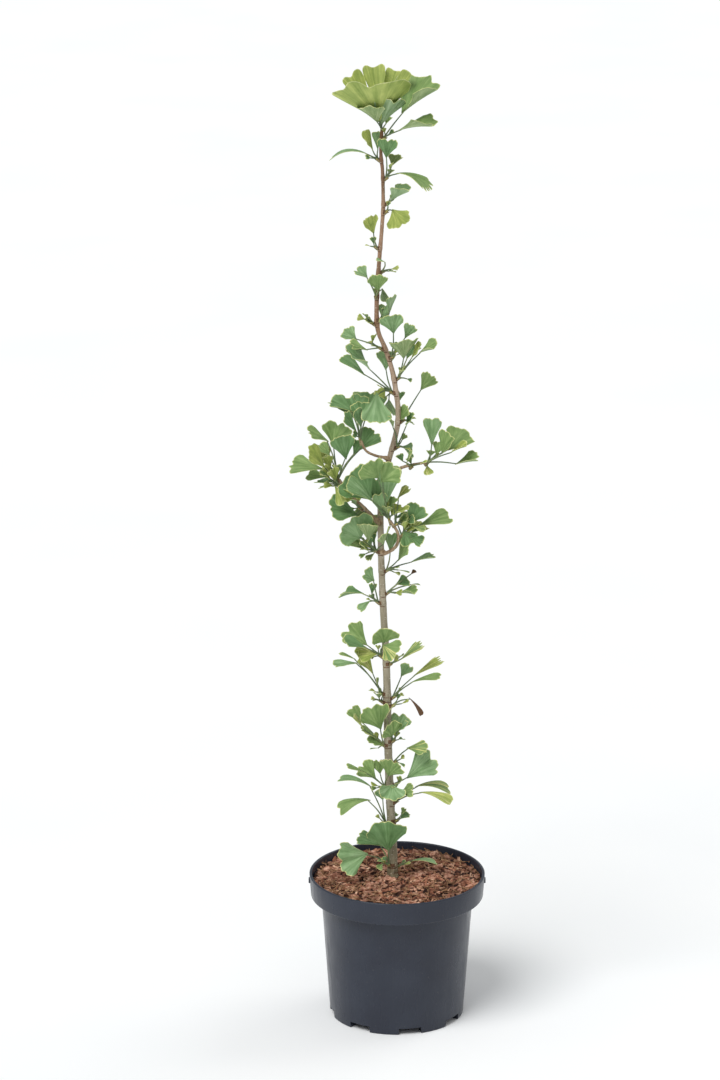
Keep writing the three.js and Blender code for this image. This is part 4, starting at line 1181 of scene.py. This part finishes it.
class Leaf:
    """Where one leaf stands, and the shape of its blade."""

    def __init__(self, foot, row, draw):
        def between(pair):
            return pair[0] + (pair[1] - pair[0]) * draw()

        self.cleft = between(CLEFT)
        self.wave = FULL_TURN * draw()
        seed_curl = between(CURL)
        fan, facing, lean, curl = (row + (seed_curl,))[4:8]
        seen, slope = front_place(foot)

        def in_space(step):
            """A step in the front view, leaned back along the line of sight."""
            depth = math.hypot(*step) * math.tan(math.radians(lean))
            return np.array([step[0], depth, step[1] - slope * depth])

        root, tip = np.array(row[:2]), np.array(row[2:4])
        self.root = foot + in_space(root - seen)
        chord = in_space(tip - root)
        bow = math.radians(curl) / 2
        self.blade = np.linalg.norm(chord) * bow / math.sin(bow)
        self.bent = self.blade / (2 * bow)
        self.half = math.radians(fan)
        self.waviness = min(1, self.half / BROAD_FAN)
        chord = unit(chord)
        to_front = abs(facing) ** 1.6
        rise = np.array([0, -math.copysign(to_front, facing), 1 - to_front])
        rise = unit(rise - chord * (rise @ chord))
        self.along = chord * math.cos(bow) + rise * math.sin(bow)
        self.up = rise * math.cos(bow) - chord * math.sin(bow)
        self.across = np.cross(self.along, self.up)
        spare = seeded(int(self.wave * 1e6))
        cone = CONE[0] + (CONE[1] - CONE[0]) * abs(facing) + CONE_PLAY * (2 * spare() - 1)
        self.cone = math.radians(cone)
        self.lopsided = math.radians(LOPSIDED) * (2 * spare() - 1)
        self.lobes = [
            [least + play * spare() for least, play in (LOBE_PLACE, LOBE_DEPTH)] for _ in range(2)]

    def margin(self, side, comb):
        """How far the fan reaches at side, from -1 to 1 across it."""
        spot = side * self.waviness
        dips = self.cleft * np.exp(-((spot / CLEFT_WIDTH) ** 2))
        for sign, (lobe, depth) in zip((-1, 1), self.lobes):
            dips += depth * np.exp(-(((spot - sign * lobe) / LOBE_WIDTH) ** 2))
        for height, waves, shift in RIPPLES:
            dips -= height * np.sin(waves * spot + shift * self.wave)
        if comb:
            cuts = np.maximum(0, np.sin(20 * side + self.wave)) ** 0.7
            dips += COMB_CUT * cuts / self.waviness
        shoulder = sum(drop * np.abs(side) ** power for drop, power in SHOULDERS)
        return self.blade * (1 - shoulder - self.waviness * dips)

    def place(self, turn, reach):
        """The point of the blade at a turn from its middle line and a reach from its root."""
        share, side = reach / self.blade, turn / self.half
        cone = self.cone + self.lopsided * side
        roll = turn / np.sin(cone)
        forward = reach * (1 - np.sin(cone) ** 2 * (1 - np.cos(roll)))
        sideways = reach * np.sin(cone) * np.sin(roll)
        lift = reach * np.sin(cone) * np.cos(cone) * (1 - np.cos(roll))
        spot = side * self.waviness
        lift += self.waviness * self.blade * sum(
            height * share**growth * np.sin(waves * spot + shift * self.wave)
            for height, waves, shift, growth in RUFFLES)
        lift -= self.bent * (1 - np.cos(forward / self.bent))
        ahead = self.bent * np.sin(forward / self.bent)
        return (
            self.root
            + ahead[..., None] * self.along
            + sideways[..., None] * self.across
            + lift[..., None] * self.up
        )


def blade_shape(leaf, comb):
    """The blade's upper and lower grid of points, and the grid's steps across and out."""
    even = np.linspace(-1, 1, BLADE_COLUMNS + 1)
    side = np.sign(even) * np.abs(even) ** 1.15
    edge = 1 - MARGIN_BAND / leaf.blade
    out = np.array([min(row, edge) for row in BLADE_ROWS] + [edge, 1.0])
    reach = leaf.margin(side, comb)[:, None] * out
    turn = side[:, None] * leaf.half * (FAN_WAIST + (1 - FAN_WAIST) * out)
    sheet = leaf.place(turn, reach)
    normal = np.cross(np.gradient(sheet, axis=0), np.gradient(sheet, axis=1))
    normal /= np.linalg.norm(normal, axis=2, keepdims=True)
    thick = BLADE_THICKNESS * np.where(out > edge - 1e-6, MARGIN_THINNING, 1)[None, :, None]
    return sheet + normal * thick / 2, sheet - normal * thick / 2, side, out


def leaf_skin(name, colour, underside):
    """Fine veins that fork outwards, in the blade's own fan of coordinates; broad bands of vein
    tone with painted sheen and shade; and clouds of painted shade.
    """
    skin = Finish(name, colour, 0.7 if underside else 0.58, 0.35)
    base = np.array(rgb(*colour)[:3])
    fan = skin.node("ShaderNodeUVMap", uv_map="fan").outputs["UV"]
    fine, bands_with_sheen_and_shade = (
        skin.speckle(fan, (across, outward, 1), detail) for across, outward, detail in VEIN_GRAINS)
    painted_shade_clouds = skin.grain(9, 3)
    # Broad bands between darker and lighter green: vein tone, with painted shade at the dark end
    # and painted bluish sheen at the light end.
    green = skin.shares(
        bands_with_sheen_and_shade, (0.3, base * (0.68, 0.75, 0.66)), (0.5, base),
        (0.72, np.minimum(1, base * (1.5, 1.36, 1.6))))
    # The fine veins darken faintly, and the clouds lay patches of painted shade over the blade.
    for layer in (
        skin.shares(fine, (0.35, (0.76, 0.8, 0.74)), (0.6, 1)),
        skin.shares(painted_shade_clouds, (0.34, (0.74, 0.8, 0.74)), (0.56, 1)),
    ):
        green = skin.mixed(green, layer, 0.7, "MULTIPLY")
    skin.paint(green)
    skin.relief((fine, 0.4 if underside else 0.3), (bands_with_sheen_and_shade, 1.2), (painted_shade_clouds, 0.5))
    return skin.material


def column_tones(tone, draw):
    """The tone of each column of a blade; a cream tone deals out streaks of cream."""
    tones = [tone.removeprefix("cream_")] * BLADE_COLUMNS
    if tone.startswith("cream_"):
        for _ in range(CREAM_STREAKS):
            start = int(draw() * BLADE_COLUMNS)
            for column in range(start, min(start + 1 + int(draw() * 2), BLADE_COLUMNS)):
                tones[column] = "cream"
    return tones


def make_leaves(name, numbers, skins):
    """One mesh of all blades on the spurs with these numbers, counted from the tip."""
    points, faces, slots, fans = [], [], [], []
    for number in numbers:
        tones = LEAF_ROWS[number - 1][0].split()
        for k in range(len(YOUNG_LEAVES[number])):
            tones.append(YOUNG_TONES[(number + k) % 4])
        for leaf, tone in zip(LEAVES[number] + YOUNG_LEAVES[number], tones):
            upper, lower, side, out = blade_shape(leaf, tone.startswith("comb_"))
            tone = tone.removeprefix("comb_")
            last = len(out) - 1
            count = upper[..., 0].size
            start = sum(len(block) for block in points)
            points += [upper.reshape(-1, 3), lower.reshape(-1, 3)]
            streaks = column_tones(tone, seeded(number * 97 + len(fans)))
            shift = len(points) * 0.37

            def add(corners, slot):
                """A face; each corner is a column, a row, and 1 on the underside."""
                faces.append([
                    start + under * count + i * len(out) + j for i, j, under in corners])
                slots.append(slot)
                fans.extend((side[i] * 0.5 + shift, out[j]) for i, j, _ in corners)

            for i in range(BLADE_COLUMNS):
                for j in range(last):
                    band = tone != "dead" and j == last - 1
                    slot = TONE_SLOT["margin" if band else streaks[i]]
                    ring = ((i, j), (i + 1, j), (i + 1, j + 1), (i, j + 1))
                    add([(*corner, 0) for corner in ring], slot)
                    add([(*corner, 1) for corner in ring[::-1]], slot + 1)
            rim = [(i, 0) for i in range(BLADE_COLUMNS)]
            rim += [(BLADE_COLUMNS, j) for j in range(last)]
            rim += [(i, last) for i in range(BLADE_COLUMNS, 0, -1)]
            rim += [(0, j) for j in range(last, 0, -1)]
            edge_slot = TONE_SLOT["dead" if tone == "dead" else "margin"]
            for here, after in zip(rim, rim[1:] + rim[:1]):
                add([(*after, 0), (*here, 0), (*here, 1), (*after, 1)], edge_slot)
    mesh = bpy.data.meshes.new(name)
    mesh.from_pydata((np.vstack(points) * MM).tolist(), [], faces)
    for skin in skins:
        mesh.materials.append(skin)
    mesh.polygons.foreach_set("material_index", slots)
    mesh.polygons.foreach_set("use_smooth", [True] * len(faces))
    mesh.uv_layers.new(name="fan").data.foreach_set("uv", np.array(fans).ravel())
    mesh.set_sharp_from_angle(angle=math.radians(60))
    return mesh


def young_leaves(foot, heading, draw):
    """Small late leaves in the cup of a spur, half unrolled."""
    crowded = CROWDED[0] < foot[2] < CROWDED[1] and foot[0] < CROWDED_REACH
    count, least, spread = CROWDED_LATE_LEAVES if crowded else LATE_LEAVES
    seen, _ = front_place(foot)
    found = []
    for _ in range(count):
        size = least + spread * draw()
        turn = math.radians(90 - 60 * math.cos(math.radians(heading)) + 110 * (draw() - 0.5))
        root = seen + (LATE_STALK[0] + size * LATE_STALK[1] * draw()) * level(turn)[:2]
        turn += 0.6 * (draw() - 0.5)
        tip = root + size * level(turn)[:2]
        manner = [low + play * draw() for low, play in (LATE_FAN, LATE_FACING, LATE_LEAN)]
        found.append(Leaf(foot, (*root, *tip, *manner), draw))
    return found


LEAVES, YOUNG_LEAVES = {}, {}
for number, (spur, (_, rows)) in enumerate(zip(SPURS, LEAF_ROWS), 1):
    foot, _ = spur_seat(*spur)
    draw = seeded(number)
    LEAVES[number] = [Leaf(foot, row, draw) for row in rows]
    YOUNG_LEAVES[number] = young_leaves(foot, spur[2], seeded(number + 500))

leaf_skins = [
    leaf_skin(tone + ("_under" if underside else ""), colour, underside)
    for tone, sides in TONES.items() for underside, colour in enumerate(sides)]
for name, numbers in (
    ("leaves_upper", range(1, 18)),
    ("leaves_middle", range(18, 31)),
    ("leaves_lower", range(31, len(SPURS) + 1)),
):
    masses = [
        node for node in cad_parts
        if node.startswith("foliage_") and int(node.split("_")[1]) in numbers]
    piece(name, make_leaves(name, numbers, leaf_skins), "leaf", *masses)


# ---- Leaf stalks -------------------------------------------------------------------------
# Round, springy and pale green, each about as thick as a pencil lead. A stalk runs from its
# spur's cup of scales up into the blade, swollen a little at its foot.

STALK_RADIUS = 0.95
STALK_TAPER = 0.35
STALK_ARCH = 0.05  # how high it bows, share of its length
STALK_SINK = 0.12  # how far it runs into the blade, share of the blade


def stalk_shape(leaf, foot, out):
    end = leaf.place(np.array(0.0), np.array(leaf.blade * STALK_SINK))
    arch = STALK_ARCH * np.linalg.norm(leaf.root - foot)
    bend = (foot + leaf.root) / 2 + np.array([0, 0, arch])
    places = through([foot - out * 1.8, bend, end], 14)

    def radius_at(share, turn):
        swell = 0.35 * math.exp(-(share / 0.07) ** 2)
        return STALK_RADIUS * (1 - STALK_TAPER * share) * (0.92 + swell)

    return tube(list(places), radius_at, 7)


stalk_skin = mottled(
    "stalk_green", (104, 122, 84), 0.5, 0.4, (12, 3),
    [(0.32, (84, 100, 70)), (0.52, (104, 122, 84)), (0.72, (142, 150, 104))],
    (1, 3, (1, 1, 3)), 0.1)
stalks = [
    stalk_shape(leaf, *spur_seat(*spur)) for number, spur in enumerate(SPURS, 1)
    for leaf in LEAVES[number] + YOUNG_LEAVES[number]]
piece("leaf_stalks", joined("leaf_stalks", stalks, stalk_skin), "leaf")


# ---- Studio ------------------------------------------------------------------------------
# A plain pale floor under soft, even light, and a camera a little above the plant. The sky
# lights the plant faintly, and looks as pale as the floor where the camera sees it.

FLOOR_SIZE = 30000
SKY = (0.985, 0.995, 1.0, 1)
SKY_STRENGTH = 0.43
LIGHTS = (
    # place, spread in degrees, strength
    ("key_light", (-1.5, -1.9, 3.4), 34, 2.05),
    ("back_light", (2.2, 1.4, 1.9), 40, 0.6),
)
CAMERA_PLACE = (-0.039, -4.109, 1.7573)
CAMERA_PITCH = 73.237  # degrees up from straight down
CAMERA_LENS = 139.38
CAMERA_SENSOR = 36


def make_floor():
    paper = Finish("studio_floor", (250, 252, 252), 0.7, 0.1)
    paper.paint(paper.shades(paper.grain(400, 2), (0.3, (248, 250, 251)), (0.7, (253, 254, 254))))
    half = FLOOR_SIZE / 2
    corners = [(-half, -half, 0), (half, -half, 0), (half, half, 0), (-half, half, 0)]
    mesh = surface("floor", corners, [(0, 1, 2, 3)], paper.material, smooth=False)
    floor = bpy.data.objects.new("floor", mesh)
    bpy.context.scene.collection.objects.link(floor)


def make_sky():
    world = bpy.data.worlds.new("studio")
    bpy.context.scene.world = world
    world.use_nodes = True
    sketch = Sketch(world.node_tree)
    sky = world.node_tree.nodes["Background"]
    sky.inputs["Color"].default_value = SKY
    sky.inputs["Strength"].default_value = SKY_STRENGTH
    backdrop = sketch.node("ShaderNodeBackground", [("Color", SKY)])
    seen = sketch.node("ShaderNodeLightPath").outputs["Is Camera Ray"]
    either = sketch.node("ShaderNodeMixShader", [
        ("Fac", seen), (1, sky.outputs["Background"]), (2, backdrop.outputs["Background"])])
    sketch.feed(world.node_tree.nodes["World Output"].inputs["Surface"], either.outputs["Shader"])


def make_lights():
    for name, place, spread, power in LIGHTS:
        lamp = bpy.data.lights.new(name, "SUN")
        lamp.angle = math.radians(spread)
        lamp.energy = power
        made = bpy.data.objects.new(name, lamp)
        made.location = place
        made.rotation_euler = Vector(place).to_track_quat("Z", "Y").to_euler()
        bpy.context.scene.collection.objects.link(made)


def make_camera():
    lens = bpy.data.cameras.new("camera")
    lens.lens = CAMERA_LENS
    lens.sensor_width = CAMERA_SENSOR
    made = bpy.data.objects.new("camera", lens)
    made.location = CAMERA_PLACE
    made.rotation_euler = (math.radians(CAMERA_PITCH), 0, 0)
    bpy.context.scene.collection.objects.link(made)
    bpy.context.scene.camera = made


make_floor()
make_sky()
make_lights()
make_camera()
bpy.context.scene.view_settings.view_transform = "Standard"
